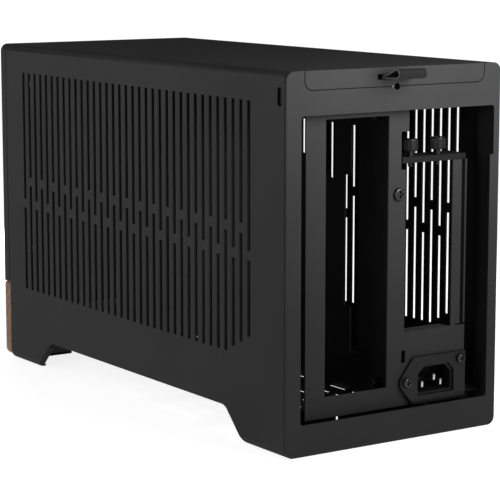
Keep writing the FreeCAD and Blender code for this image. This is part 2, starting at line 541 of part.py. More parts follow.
def make_feet():
    rows = {"front": f"({FRONT} + foot_front)", "rear": f"({REAR} - foot_rear - foot_width)"}
    for row, y in rows.items():
        for side, x in (("right", f"{SIDE} - foot_inset - foot_length"), ("left", f"foot_inset - {SIDE}")):
            for name, inset, low, high in (("foot", "0", "foot_pad", "pan_height"),
                                           ("foot_pad", "foot_pad_inset", "0", "foot_pad")):
                bar = doc.addObject("Part::Box", f"{row}_{side}_{name}")
                bar.Label = bar.Name
                bindings = {
                    "Length": f"foot_length - 2 * {inset}", "Width": f"foot_width - 2 * {inset}",
                    "Height": f"{high} - {low}", "Placement.Base.x": f"{x} + {inset}",
                    "Placement.Base.y": f"{y} + {inset} - tab_reach / 2", "Placement.Base.z": low,
                }
                for binding, size in bindings.items():
                    bar.setExpression(binding, bound(size))


# Top cover with its lip, hinge lugs and pull tab


def make_top_cover():
    cover = Piece("top_cover")
    half, lip = f"({LIP_X} - seam)", LIP_HALF
    lip_bottom = "(case_height - lip_depth)"
    cover.pad("XY", COVER_UNDER, "case_height", [[
        (f"-{half}", COVER_FRONT), (half, COVER_FRONT), (half, PANEL_REAR), (lip, PANEL_REAR),
        (lip, REAR), (f"-{lip}", REAR), (f"-{lip}", PANEL_REAR), (f"-{half}", PANEL_REAR),
    ]])
    cover.pad("XZ", FRAME_IN, REAR, [[
        (f"-{lip}", lip_bottom, "lip_round"), (lip, lip_bottom, "lip_round"),
        (lip, "case_height"), (f"-{lip}", "case_height"),
    ]])
    slot_floor = f"({TAB_Z} - (tab_slot_height - 2 * ribbon) / 2)"
    cover.pocket("XZ", FRAME_IN, REAR, [
        box("-tab_slot_width / 2", "tab_slot_width / 2", slot_floor, f"{slot_floor} + tab_slot_height"),
        ("0", f"{lip_bottom} - seam", "lock_radius"),
    ])
    sheet_middle = "case_height - panel_sheet / 2"
    lug = [
        (f"{HINGE_Y} - lug_round", f"{HINGE_Z} - lug_round", "lug_round - round_margin"),
        (f"{HINGE_Y} + lug_round", f"{HINGE_Z} - lug_round", "lug_round - round_margin"),
        (f"{HINGE_Y} + lug_length", COVER_UNDER), (f"{HINGE_Y} + lug_length", sheet_middle),
        (f"{HINGE_Y} - lug_round", sheet_middle),
    ]
    lug_in = f"({LUG_OUT} - lug_sheet)"
    for low, high in ((lug_in, LUG_OUT), (f"-{LUG_OUT}", f"-{lug_in}")):
        cover.pad("YZ", low, high, [lug])
        cover.pocket("YZ", low, high, [(HINGE_Y, HINGE_Z, "pin_radius + pin_play")])


def make_pull_tab():
    """A ribbon folded to a loop, with a sewn stop behind the cover's lip."""
    tab = Piece("pull_tab")
    stop, out = f"({FRAME_IN} - pin_play)", f"({REAR} + tab_reach)"
    low, high = TAB_Z, f"({TAB_Z} + 2 * ribbon)"
    tip = f"({high} + tab_rise)"
    eye_out = f"{out} - ribbon"
    tab.pad("YZ", "-tab_width / 2", "tab_width / 2", [[
        (f"{stop} - tab_anchor", f"{low} - tab_anchor_lip"), (stop, f"{low} - tab_anchor_lip"),
        (stop, low), (f"{REAR} + tab_reach / 2", low, "tab_bend"),
        (out, f"{low} + ribbon", "tab_fold"), (out, tip, "ribbon"),
        (f"{REAR} + ribbon", high, "tab_bend"), (stop, high),
        (stop, f"{high} + tab_anchor_lip"), (f"{stop} - tab_anchor", f"{high} + tab_anchor_lip"),
    ], [
        (f"{REAR} + tab_eye_near", f"{low} + ribbon"), (f"{REAR} + tab_reach / 2", f"{low} + ribbon"),
        (eye_out, high, "tab_eye_round"), (eye_out, f"{tip} - tab_eye_drop", "tab_eye_round"),
    ]])


# Front: panel, trim, ports, button


def boss_places():
    columns = (f"({SIDE} - boss_inset)", f"(boss_inset - {SIDE})")
    return [(x, z) for x in columns for z in ("boss_low", "(case_height - boss_drop)")]


def trim_screw_places():
    columns = (f"({SIDE} - trim_screw_inset)", f"(trim_screw_inset - {SIDE})")
    return [(x, "trim_screw_level") for x in columns]


def screws(label, places, tip, head_face):
    """Pan-head screws that point to -Y, with their heads on one face."""
    group = Piece(label)
    group.pad("XZ", tip, head_face, [(x, z, "screw_shank") for x, z in places])
    group.pad("XZ", head_face, f"{head_face} + screw_head_height", [(x, z, "screw_head") for x, z in places])


def make_front_panel():
    panel = Piece("front_panel")
    face, back = f"({FRONT} + front_setback)", f"({FRONT} + front_depth)"
    low = "(trim_top + seam)"
    panel.pad("XZ", face, back, [[
        (f"-{SIDE}", low), (SIDE, low),
        (SIDE, "case_height", "edge_radius"), (f"-{SIDE}", "case_height", "edge_radius"),
    ]])
    hollow = f"({face} + front_wall)"
    inset = f"({SIDE} - front_wall)"
    ceiling = "(case_height - front_wall)"
    panel.pocket("XZ", hollow, back, [[
        (f"-{inset}", f"{low} + front_wall"), (inset, f"{low} + front_wall"),
        (inset, ceiling, "edge_radius - front_wall"), (f"-{inset}", ceiling, "edge_radius - front_wall"),
    ]])
    hole_end = f"({hollow} + seam)"
    bosses = boss_places()
    panel.pad("XZ", f"{hollow} - front_wall / 2", BULK_FACE, [(x, z, "boss_radius") for x, z in bosses])
    panel.pocket("XZ", hole_end, BULK_FACE, [(x, z, "boss_hole") for x, z in bosses])
    screws("front_panel_screws", bosses, f"{hole_end} + seam", BULK_BACK)


def port_holes(play):
    """The front ports' outlines, larger by the play all round."""
    half = f"(usb_a_height / 2 + {play})"
    holes = []
    for x in usb_a_places():
        holes.append(box(f"{x} - usb_a_width / 2 - {play}", f"{x} + usb_a_width / 2 + {play}",
                         f"port_level - {half}", f"port_level + {half}"))
    half = f"(usb_c_height / 2 + {play})"
    holes.append(box(f"usb_c_x - usb_c_width / 2 - {play}", f"usb_c_x + usb_c_width / 2 + {play}",
                     f"port_level - {half}", f"port_level + {half}", f"{half} - round_margin"))
    return holes


def usb_a_places():
    return "usb_a_first", "(usb_a_first + usb_a_pitch)"


def make_wood_trim():
    trim = Piece("wood_trim")
    trim.pad("XZ", FRONT, BULK_FACE, [[
        (f"-{SIDE}", "trim_bottom", "edge_radius"), (SIDE, "trim_bottom", "edge_radius"),
        (SIDE, "trim_top", "trim_round"), (f"-{SIDE}", "trim_top", "trim_round"),
    ]])
    face = number(FRONT)
    trim.round_edges("trim_round", lambda edge: all(abs(spot.Y - face) < 1e-6 for spot in edge.Vertexes))
    trim.pocket("XZ", FRONT, BULK_FACE, port_holes("port_play") + [
        (BUTTON_X, "port_level", "button_radius + button_play")])
    trim.pocket("XZ", f"{BULK_FACE} - trim_screw_depth", BULK_FACE, [
        (x, z, "boss_hole") for x, z in trim_screw_places()])
    screws("trim_screws", trim_screw_places(), f"{BULK_FACE} - trim_screw_depth + seam", BULK_BACK)


def make_front_ports():
    mouth = f"({FRONT} + port_recess)"
    outlines = port_holes("0")
    cavities = port_holes("(0 - shell_wall)")
    lengths = ("usb_a_length", "usb_a_length", "usb_c_length")
    names = ("usb_a_port_inner", "usb_a_port_outer", "usb_c_port")
    for name, outline, cavity, length in zip(names, outlines, cavities, lengths):
        port = Piece(name)
        port.pad("XZ", mouth, f"{mouth} + {length}", [outline])
        port.pocket("XZ", mouth, f"{mouth} + {length} - 2 * shell_wall", [cavity])
    tongues = Piece("port_tongues")
    for x, width, length in ((usb_a_places()[0], "usb_a_width", "usb_a_length"),
                             (usb_a_places()[1], "usb_a_width", "usb_a_length"),
                             ("usb_c_x", "usb_c_width", "usb_c_length")):
        half = f"({width} / 2 - tongue_inset)"
        level = "port_level" if width == "usb_c_width" else "(port_level + tongue_rise)"
        tongues.pad("XZ", f"{mouth} + tongue_recess", f"{mouth} + {length} - 2 * shell_wall", [
            box(f"{x} - {half}", f"{x} + {half}", f"{level} - tongue / 2", f"{level} + tongue / 2")])

    board = Piece("front_io_board")
    board_low = f"({PORT_SEAT} - board_sheet)"
    back = f"({BULK_BACK} + board_depth)"
    board.pad("XY", board_low, PORT_SEAT, [
        box("-board_left", BOARD_RIGHT, f"{BULK_BACK} + seam", back)])
    posts = Piece("io_board_posts")
    post_row = ("post_inset - board_left", f"{BOARD_RIGHT} - post_inset")
    posts.pad("XY", PAN_TOP, board_low, [(x, f"{back} - post_inset", "post_radius") for x in post_row])

    rise = Piece("usb_c_spacer")
    rise.pad("XY", PORT_SEAT, "port_level - usb_c_height / 2", [
        box("usb_c_x - usb_c_width / 2", "usb_c_x + usb_c_width / 2",
            f"{BULK_BACK} + seam", f"{mouth} + usb_c_length")])

    button_back = f"({FRONT} - button_proud + button_length)"
    stem_end = f"({button_back} + stem_length)"
    button = Piece("power_button")
    button.pad("XZ", f"{FRONT} - button_proud", button_back, [(BUTTON_X, "port_level", "button_radius")])
    button.pad("XZ", button_back, stem_end, [(BUTTON_X, "port_level", "stem_radius")])
    switch = Piece("power_switch")
    switch_face = f"({stem_end} + button_travel + switch_gap)"
    switch.pad("XZ", switch_face, f"{switch_face} + switch_length", [
        box(f"{BUTTON_X} - switch_size / 2", f"{BUTTON_X} + switch_size / 2",
            PORT_SEAT, f"{PORT_SEAT} + switch_size")])


# Spine: wall, rear plate, slot shelf, supply bracket and fasteners


def clamp_places():
    first = f"({FRONT} + clamp_front)"
    return first, f"({first} + clamp_pitch)"


def standoff_places():
    rear = f"({REAR} - standoff_rear)"
    return [(y, z) for y in (rear, f"({rear} - board_span_y)")
            for z in ("standoff_bottom", "(standoff_bottom + board_span_z)")]


def make_spine_wall():
    wall = Piece("spine_wall")
    front = f"({FRONT} + spine_front)"
    near, middle, far = (f"{REAR} - wall_window_{name}" for name in ("rear", "front", "mid"))
    rear_window = [
        (middle, "wall_window_low"), (near, "wall_window_low"),
        (near, WINDOW_TOP), (middle, WINDOW_TOP),
        (middle, "wall_window_high"), (far, "wall_window_high"),
        (far, "wall_window_step"), (middle, "wall_window_step"),
    ]
    sight_window = [
        (f"{REAR} - sight_rear", "sight_low"), (f"{REAR} - sight_rear", WINDOW_TOP),
        (f"{REAR} - sight_front", WINDOW_TOP), (f"{REAR} - sight_front", "sight_low + sight_rise"),
    ]
    cable_start = f"{REAR} - cable_front"
    cable_window = box(cable_start, f"{cable_start} + cable_width", "cable_low", "cable_high", "cable_round")
    wall.pad("YZ", SPINE_IN, "-spine_x", [
        box(front, PLATE_IN, SPINE_FLOOR, SPINE_TOP), rear_window, sight_window, cable_window])
    wall.pad("XY", SPINE_FLOOR, f"{SPINE_FLOOR} + frame_sheet", [box(
        f"{SPINE_IN} - spine_foot", SPINE_IN, f"{FRONT} + spine_foot_front", f"{REAR} - spine_foot_rear")])
    wall.pad("XY", f"{SPINE_TOP} - frame_sheet", SPINE_TOP, [box(
        f"{SPINE_IN} - spine_hem", SPINE_IN, front, f"{REAR} - hem_rear")])
    wall.pad("XY", "wall_window_low", "notch_bottom", [box(
        "-slot_edge + seam", SPINE_IN, f"{PLATE_IN} - frame_sheet", PLATE_IN)])
    wall.pocket("YZ", SPINE_IN, "-spine_x", [(y, z, "standoff_hole") for y, z in standoff_places()])
    wall.pocket("XY", SPINE_FLOOR, f"{SPINE_FLOOR} + frame_sheet", [
        ("-clamp_x", y, "clamp_shank + pin_play") for y in clamp_places()])
    wall.pocket("XZ", f"{PLATE_IN} - frame_sheet", PLATE_IN, [
        ("-plate_screw_x - frame_sheet", "plate_screw_level", "screw_shank + pin_play")])

    posts = Piece("standoffs")
    posts.pad("YZ", "-spine_x", "-spine_x + standoff_height", [
        hexagon(y, z, "standoff_radius") for y, z in standoff_places()])
    posts.pocket("YZ", "-spine_x", "-spine_x + standoff_height", [
        (y, z, "standoff_hole") for y, z in standoff_places()])

    clamps = Piece("spine_clamp_screws")
    foot_top = f"({SPINE_FLOOR} + frame_sheet)"
    nut_top = "(pan_height - pin_play)"
    for low, high, radius in ((f"{nut_top} - clamp_nut_height", nut_top, "clamp_nut"),
                              (nut_top, foot_top, "clamp_shank"),
                              (foot_top, f"{foot_top} + clamp_head_height", "clamp_head")):
        clamps.pad("XY", low, high, [("-clamp_x", y, radius) for y in clamp_places()])


def hexagon(x, y, radius):
    """Six corners round a centre, with two of them level with it."""
    rise = f"{radius} * {HEX_RISE}"
    return [(f"{x} + {radius}", y), (f"{x} + {radius} / 2", f"{y} + {rise}"),
            (f"{x} - {radius} / 2", f"{y} + {rise}"), (f"{x} - {radius}", y),
            (f"{x} - {radius} / 2", f"{y} - {rise}"), (f"{x} + {radius} / 2", f"{y} - {rise}")]


def make_rear_plate():
    plate = Piece("rear_plate")
    slot_end = "(-slot_edge - slot_opening)"
    strip_end = f"({slot_end} - strip)"
    plate.pad("XZ", PLATE_IN, PLATE_OUT, [[
        (PLATE_LEFT, "plate_bottom"), (PLATE_RIGHT, "plate_bottom"), (PLATE_RIGHT, PLATE_TOP),
        ("-upper_edge", PLATE_TOP), ("-upper_edge", "notch_top"), ("-notch_edge", "notch_top"),
        ("-notch_edge", "notch_bottom"), ("-slot_edge", "notch_bottom"), ("-slot_edge", "slot_floor"),
        (slot_end, "slot_floor"), (slot_end, "shelf_level"), (strip_end, "shelf_level"),
        (strip_end, "slot_floor"), (PLATE_LEFT, "slot_floor"),
    ], box("-io_edge", "io_width - io_edge", "io_bottom", "io_bottom + io_height")])
    deep = f"({PLATE_IN} - channel_depth)"
    plate.pad("XY", "slot_floor", "shelf_level", [[
        (strip_end, PLATE_OUT), (f"{strip_end} - frame_sheet", PLATE_OUT),
        (f"{strip_end} - frame_sheet", f"{deep} + frame_sheet"),
        (f"{PLATE_LEFT} + frame_sheet", f"{deep} + frame_sheet"), (f"{PLATE_LEFT} + frame_sheet", PLATE_OUT),
        (PLATE_LEFT, PLATE_OUT), (PLATE_LEFT, deep), (strip_end, deep),
    ]])
    plate.pad("XY", "slot_floor - frame_sheet", "slot_floor", [box(
        f"{slot_end} + seam", "-slot_edge - seam", f"{PLATE_IN} - slot_fold", PLATE_IN)])
    plate.pocket("XZ", deep, PLATE_OUT, [box(
        f"{PLATE_LEFT} - seam", f"{strip_end} + relief_run", "slot_floor", "slot_floor + relief")])
    plate.pocket("XZ", PLATE_IN, PLATE_OUT, [
        inlet_outline("inlet_wall + inlet_play"),
        box("-key_x - key_width / 2", "-key_x + key_width / 2",
            "key_level - key_height / 2", "key_level + key_height / 2", "key_round"),
        ("-plate_screw_x - frame_sheet", "plate_screw_level", "screw_shank + pin_play"),
    ] + [(x, z, "screw_shank + pin_play") for x, z in inlet_screw_places()])

    shelf = Piece("slot_shelf")
    shelf_top = "(shelf_level + shelf_height)"
    shelf_under = f"({shelf_top} - frame_sheet)"
    shelf.pad("YZ", f"{PLATE_LEFT} + frame_sheet", "-shelf_right", [[
        (PLATE_OUT, "shelf_level"), (PLATE_OUT, shelf_top), (f"{PLATE_OUT} - shelf_depth", shelf_top),
        (f"{PLATE_OUT} - shelf_depth", shelf_under), (PLATE_IN, shelf_under), (PLATE_IN, "shelf_level"),
    ]])
    thumbs = [("-thumb_first", THUMB_Y), ("-thumb_first - thumb_pitch", THUMB_Y)]
    shelf.pocket("XY", shelf_under, shelf_top, [(x, y, "thumb_shank + pin_play") for x, y in thumbs])
    screws_up = Piece("slot_thumbscrews")
    head_low = f"({shelf_top} + thumb_neck)"
    for low, high, radius in ((f"{head_low} - thumb_length", shelf_top, "thumb_shank"),
                              (shelf_top, head_low, "thumb_collar"),
                              (head_low, f"{head_low} + thumb_height", "thumb_head")):
        screws_up.pad("XY", low, high, [(x, y, radius) for x, y in thumbs])

    screw = Piece("plate_screw")
    place = ("-plate_screw_x - frame_sheet", "plate_screw_level")
    screw.pad("XZ", f"{PLATE_IN} - 2 * frame_sheet", PLATE_OUT, [(*place, "screw_shank")])
    screw.pad("XZ", PLATE_OUT, f"{PLATE_OUT} + screw_head_height", [(*place, "plate_screw_head")])


def make_psu_bracket():
    bracket = Piece("psu_bracket")
    back = f"({FRONT} + spine_front)"
    face = f"({back} - frame_sheet)"
    left, right = "-spine_x", "(psu_x + psu_span_x / 2 + psu_edge)"
    low, high = f"({SPINE_FLOOR} + spine_gap)", "(psu_z + psu_span_z / 2 + psu_edge)"
    window = box("psu_x - psu_window_x / 2", "psu_x + psu_window_x / 2",
                 "psu_z - psu_window_z / 2", "psu_z + psu_window_z / 2", "window_round")
    bracket.pad("XZ", face, back, [box(left, right, low, high), window])
    bracket.pad("XY", low, high, [box(left, f"{left} + frame_sheet", back, f"{back} + psu_foot")])
    columns = ("psu_x - psu_span_x / 2", "psu_x + psu_span_x / 2")
    rows = ("psu_z - psu_span_z / 2", "psu_z + psu_span_z / 2")
    bracket.pocket("XZ", face, back, [(x, z, "psu_hole") for x in columns for z in rows])


# Mains inlet


def inlet_outline(grow):
    """The socket's outline, larger by a wall, with the two upper corners cut off."""
    half, rise = f"(inlet_width / 2 + {grow})", f"(inlet_height / 2 + {grow})"
    left, right = f"-inlet_x - {half}", f"-inlet_x + {half}"
    low, high = f"inlet_level - {rise}", f"inlet_level + {rise}"
    return [(left, low), (right, low), (right, f"{high} - inlet_chamfer"), (f"{right} - inlet_chamfer", high),
            (f"{left} + inlet_chamfer", high), (left, f"{high} - inlet_chamfer")]


def inlet_screw_places():
    return [("-inlet_screw_left", "inlet_level"), ("-inlet_screw_right", "inlet_level + inlet_screw_rise")]


def make_inlet():
    mouth = f"({PLATE_OUT} + flange_sheet)"
    floor = f"({mouth} - inlet_depth)"
    back = f"({floor} - inlet_floor)"
    housing = Piece("inlet_housing")
    low, high = "plate_bottom", "inlet_level + flange_rise"
    housing.pad("XZ", PLATE_OUT, mouth, [[
        ("-flange_edge", low), ("-flange_shoulder", low, "flange_round"),
        ("-flange_tip", "inlet_level", "flange_tip_round"),
        ("-flange_shoulder", high, "flange_round"), ("-flange_edge", high),
    ]])
    housing.pad("XZ", back, mouth, [inlet_outline("inlet_wall")])
    housing.pocket("XZ", floor, mouth, [inlet_outline("(0 - inlet_ledge)")])
    housing.pocket("XZ", f"{mouth} - inlet_lip", mouth, [inlet_outline("0")])
    fixing_places = inlet_screw_places()
    housing.pocket("XZ", PLATE_OUT, mouth, [(x, z, "screw_shank + pin_play") for x, z in fixing_places])
    blades = []
    for x, z in inlet_pin_places():
        blades.append(box(f"{x} - pin_width / 2", f"{x} + pin_width / 2",
                          f"{z} - blade_height / 2", f"{z} + blade_height / 2"))
    housing.pocket("XZ", back, floor, blades)
    pins = Piece("inlet_pins")
    pins.pad("XZ", f"{back} - pin_tail", f"{floor} + pin_length", blades[:2])
    pins.pad("XZ", f"{back} - pin_tail", f"{floor} + pin_length + earth_extra", blades[2:])
    fixings = Piece("inlet_screws")
    fixings.pad("XZ", f"{PLATE_IN} - 2 * frame_sheet", mouth, [
        (x, z, "screw_shank") for x, z in fixing_places])
    fixings.pad("XZ", mouth, f"{mouth} + screw_head_height", [
        (x, z, "inlet_screw_head") for x, z in fixing_places])


def inlet_pin_places():
    """The two lower pins, then the earth pin above them."""
    low, high = (f"(inlet_level - pin_drop {side} pin_rise / 2)" for side in "-+")
    return [("(-inlet_x - pin_pitch / 2)", low), ("(-inlet_x + pin_pitch / 2)", low), ("(-inlet_x)", high)]


make_side_panels()
make_base_pan()
make_rear_frame()
make_front_bulkhead()
make_top_rails()
make_hinge_brackets()
make_feet()
make_top_cover()
make_pull_tab()
make_front_panel()
make_wood_trim()
make_front_ports()
make_spine_wall()
make_rear_plate()
make_psu_bracket()
make_inlet()
doc.recompute()

sub_parts = [item for item in doc.Objects
             if item.TypeId in ("PartDesign::Body", "Part::Mirroring", "Part::Box")]
for item in doc.Objects:
    if {"Invalid", "Error"} & set(item.State):
        raise RuntimeError(f"{item.Label} failed: {item.State}")
for item in sub_parts:
    if item.Shape.isNull() or not item.Shape.isValid():
        raise RuntimeError(f"{item.Label} has no valid shape")

os.makedirs("parts", exist_ok=True)
for item in sub_parts:
    item.Shape.exportStep(f"parts/{item.Label}.step")
    print(item.Label, len(item.Shape.Solids), round(item.Shape.Volume, 1))
print(len(sub_parts), "sub-parts")
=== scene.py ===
# %% [markdown]
# # A small computer case, dressed for its portrait
#
# The case comes as imported solids at their real size, in metres, with its front at -Y and its rear at +Y.
# This lesson gives each sheet, screw and strip the finish that the real one has, with painted shade on the
# sheets inside and a painted highlight on the ribbon's edges, models by hand the small pieces that carry the
# eye, and lights the whole as a product photograph is lit. The imported solids are a fixed frame: nothing
# here moves or resizes them.

# %% Load the imported case
import json
import math

import bpy
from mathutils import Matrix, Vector

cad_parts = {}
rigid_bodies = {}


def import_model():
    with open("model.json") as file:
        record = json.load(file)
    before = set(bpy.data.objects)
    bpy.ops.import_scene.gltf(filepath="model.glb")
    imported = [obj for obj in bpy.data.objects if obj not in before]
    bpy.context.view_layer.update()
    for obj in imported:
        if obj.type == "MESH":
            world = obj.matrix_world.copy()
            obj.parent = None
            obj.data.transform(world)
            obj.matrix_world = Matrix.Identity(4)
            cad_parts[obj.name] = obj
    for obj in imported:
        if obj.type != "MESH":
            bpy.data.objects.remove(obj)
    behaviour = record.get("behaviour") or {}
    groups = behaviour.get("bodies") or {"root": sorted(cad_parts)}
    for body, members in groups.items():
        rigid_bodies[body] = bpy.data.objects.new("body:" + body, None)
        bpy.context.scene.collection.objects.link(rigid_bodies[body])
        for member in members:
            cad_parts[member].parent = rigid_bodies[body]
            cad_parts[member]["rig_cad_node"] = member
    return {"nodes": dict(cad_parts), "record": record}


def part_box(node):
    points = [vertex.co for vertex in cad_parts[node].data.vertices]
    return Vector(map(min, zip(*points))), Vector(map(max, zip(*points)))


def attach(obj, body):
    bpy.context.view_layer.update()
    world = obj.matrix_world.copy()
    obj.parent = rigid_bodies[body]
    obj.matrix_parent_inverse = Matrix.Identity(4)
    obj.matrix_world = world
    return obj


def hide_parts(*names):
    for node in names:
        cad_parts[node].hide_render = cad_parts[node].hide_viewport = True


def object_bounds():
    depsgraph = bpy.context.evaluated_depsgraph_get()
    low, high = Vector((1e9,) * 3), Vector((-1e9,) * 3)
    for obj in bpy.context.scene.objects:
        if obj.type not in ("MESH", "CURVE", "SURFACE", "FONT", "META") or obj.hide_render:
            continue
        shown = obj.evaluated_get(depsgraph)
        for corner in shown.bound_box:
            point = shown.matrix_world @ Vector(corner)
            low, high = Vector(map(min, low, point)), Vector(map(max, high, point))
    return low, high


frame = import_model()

MM = 0.001
nodes = frame["nodes"]
cad_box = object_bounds()
slot_of = {part["node"]: part["material_slot"] for part in frame["record"]["subparts"]}
body_of = {node: body for body, names in frame["record"]["behaviour"]["bodies"].items() for node in names}
case_low, case_high = cad_box
print(f"{len(nodes)} solids, {(case_high - case_low).x:.3f} x {(case_high - case_low).y:.3f} m on the floor")

# %% [markdown]
# ## Working as by hand
#
# Blender's operators act on whatever is selected, so every step starts by choosing one object and, inside
# it, the faces or edges that matter. A modeller clicks on them. A script picks them by their place or their
# normal, which has the advantage that the choice still holds when a size changes. The helpers below do that
# choosing and nothing else.

# %% Choose an object, its faces or its edges


def only(piece):
    """Leave one object selected and active."""
    bpy.ops.object.select_all(action="DESELECT")
    piece.select_set(True)
    bpy.context.view_layer.objects.active = piece


def open_up(piece, kind="FACE"):
    """Go into edit mode with everything selected."""
    only(piece)
    bpy.ops.object.mode_set(mode="EDIT")
    bpy.ops.mesh.select_mode(type=kind)
    bpy.ops.mesh.select_all(action="SELECT")


def close_up():
    bpy.ops.object.mode_set(mode="OBJECT")


def pick_faces(piece, wanted):
    """Stay in edit mode with only the wanted faces selected; the test gets each face."""
    open_up(piece)
    bpy.ops.mesh.select_all(action="DESELECT")
    close_up()
    for face in piece.data.polygons:
        face.select = wanted(face)
    bpy.ops.object.mode_set(mode="EDIT")


def pick_edges(piece, wanted):
    """Stay in edit mode with only the wanted edges selected; the test gets an edge's two ends."""
    open_up(piece, "EDGE")
    bpy.ops.mesh.select_all(action="DESELECT")
    close_up()
    spots = piece.data.vertices
    for edge in piece.data.edges:
        edge.select = wanted(*(spots[index].co for index in edge.vertices))
    bpy.ops.object.mode_set(mode="EDIT")


print("four ways to choose what an operator works on")

# %% Finish a mesh with modifiers


def apply_modifier(piece, kind, **settings):
    """Add a modifier, set it, and make its result the mesh."""
    only(piece)
    bpy.ops.object.modifier_add(type=kind)
    modifier = piece.modifiers[-1]
    for name, value in settings.items():
        setattr(modifier, name, value)
    bpy.ops.object.modifier_apply(modifier=modifier.name)


def settle(piece):
    """Put an object's place and turn into its mesh, so that the object itself sits at the origin."""
    only(piece)
    bpy.ops.object.transform_apply(location=True, rotation=True, scale=True)


def shade(piece, angle=40):
    """Smooth the rounds, and keep the flats flat by weighing each normal by its face."""
    only(piece)
    bpy.ops.object.shade_smooth_by_angle(angle=math.radians(angle))
    apply_modifier(piece, "WEIGHTED_NORMAL", keep_sharp=True)


print("modifiers are applied at once, so every mesh is final when its cell ends")

# %% [markdown]
# ## Finishes
#
# A finish is a small tree of nodes in front of one shader. Colour, roughness and bump come from noise and
# waves that read Object coordinates. All objects sit at the origin, so a pattern has its real size in
# metres and never slides. A value that is the same all over the surface is typed straight into the shader's
# socket. The helpers keep the trees short: start a finish, add a node, and tie its output to an input.

# %% Helpers for finishes


def start_finish(name, colour, roughness, metallic=0.0, specular=0.5):
    """A material with one shader, and the Object coordinates that its patterns read."""
    material = bpy.data.materials.new(name)
    material.use_nodes = True
    tree = material.node_tree
    shader = tree.nodes["Principled BSDF"]
    shader.inputs["Base Color"].default_value = (*colour, 1)
    shader.inputs["Roughness"].default_value = roughness
    shader.inputs["Metallic"].default_value = metallic
    shader.inputs["Specular IOR Level"].default_value = specular
    place = tree.nodes.new("ShaderNodeTexCoord").outputs["Object"]
    return material, tree, shader, place


def add_node(tree, kind, links=(), **values):
    """A node with its values set and its inputs tied; a value's name is an input's name or an attribute."""
    node = tree.nodes.new(f"ShaderNode{kind}")
    for name, value in values.items():
        socket = name.replace("_", " ").title()
        if socket in node.inputs:
            node.inputs[socket].default_value = value
        else:
            setattr(node, name, value)
    for socket, source in dict(links).items():
        tree.links.new(source, node.inputs[socket])
    return node


def stretched(tree, place, scale, shift=(0, 0, 0)):
    """Object coordinates scaled along each axis, for grain that runs one way."""
    return add_node(tree, "Mapping", {"Vector": place}, scale=scale, location=shift).outputs["Vector"]


def noise(tree, place, scale, detail=2.0, roughness=0.5):
    node = add_node(tree, "TexNoise", {"Vector": place}, scale=scale, detail=detail, roughness=roughness)
    return node.outputs["Fac"]


def between(tree, factor, low, high):
    """Spread a noise, which mostly lies between 0.3 and 0.7, over a range of values."""
    node = add_node(tree, "MapRange", {"Value": factor}, from_min=0.3, from_max=0.7, to_min=low, to_max=high)
    return node.outputs["Result"]


def colours(tree, factor, stops):
    """A ramp through (place, colour) stops."""
    node = add_node(tree, "ValToRGB", {"Fac": factor})
    ramp = node.color_ramp.elements
    while len(ramp) < len(stops):
        ramp.new(1.0)
    for element, (position, colour) in zip(ramp, stops):
        element.position = position
        element.color = (*colour, 1)
    return node.outputs["Color"]


def raise_bump(tree, shader, height, strength, distance):
    """Tie a height to the shader's normal, with its depth in metres."""
    node = add_node(tree, "Bump", {"Height": height}, strength=strength, distance=distance)
    tree.links.new(node.outputs["Normal"], shader.inputs["Normal"])


print("finishes read Object coordinates, in metres")

# %% [markdown]
# ### Black sheet metal
#
# The outer panels are aluminium with a dark satin finish: a fine, even tooth that spreads the light softly
# and never mirrors the room. The folded frame is steel with a powder coat, whose skin is a little coarser.
# A third, deeper black is painted shade for the sheets inside. The photograph shows them almost without
# light, and the real ones may well have the frame's coat: the deeper black is a choice for the picture. One
# function makes all three, with the tooth's size and depth as its settings.

# %% Satin panel, powder-coated frame and painted shade for the inner sheets


def black_sheet(name, dark, light, tooth, depth, rough, gloss=0.1):
    """Dark metal: cloudy colour at hand size, a fine tooth in roughness and bump."""
    material, tree, shader, place = start_finish(name, dark, rough, specular=gloss)
    cloud = noise(tree, place, 14, detail=4)
    tree.links.new(colours(tree, cloud, [(0.35, dark), (0.7, light)]), shader.inputs["Base Color"])
    skin = noise(tree, place, tooth, detail=3, roughness=0.6)
    tree.links.new(between(tree, skin, rough - 0.05, rough + 0.07), shader.inputs["Roughness"])
    raise_bump(tree, shader, skin, 0.35, depth)
    return material


satin_black = black_sheet("satin_black", dark=(0.024, 0.024, 0.0243), light=(0.029, 0.029, 0.0293),
                          tooth=2600, depth=0.03 * MM, rough=0.52)
powder_black = black_sheet("powder_black", dark=(0.025, 0.025, 0.0253), light=(0.030, 0.030, 0.0303),
                           tooth=1500, depth=0.06 * MM, rough=0.58)
# Painted shade: a deeper black for the sheets inside, where the lamps would leave them grey.
painted_shade_black = black_sheet("painted_shade_black", dark=(0.006, 0.006, 0.0061), light=(0.009, 0.009, 0.0091),
                           tooth=1100, depth=0.04 * MM, rough=0.6)
print("black finishes:", satin_black.name, powder_black.name, painted_shade_black.name)

# %% [markdown]
# ### Walnut
#
# The front strip is one board of walnut with its grain running from side to side. Seen from the front the
# rings show as long, wavering streaks; at the two ends they show as arcs, because the saw cut across them.
# Both come from one idea: the distance of a point from the tree's heart, which runs along X well below the
# strip, bent by a slow noise. Fine pores, drawn out along the grain, sit on top.

# %% Walnut strip
RINGS_PER_METRE = 190.0
RING_DRIFT = 0.03


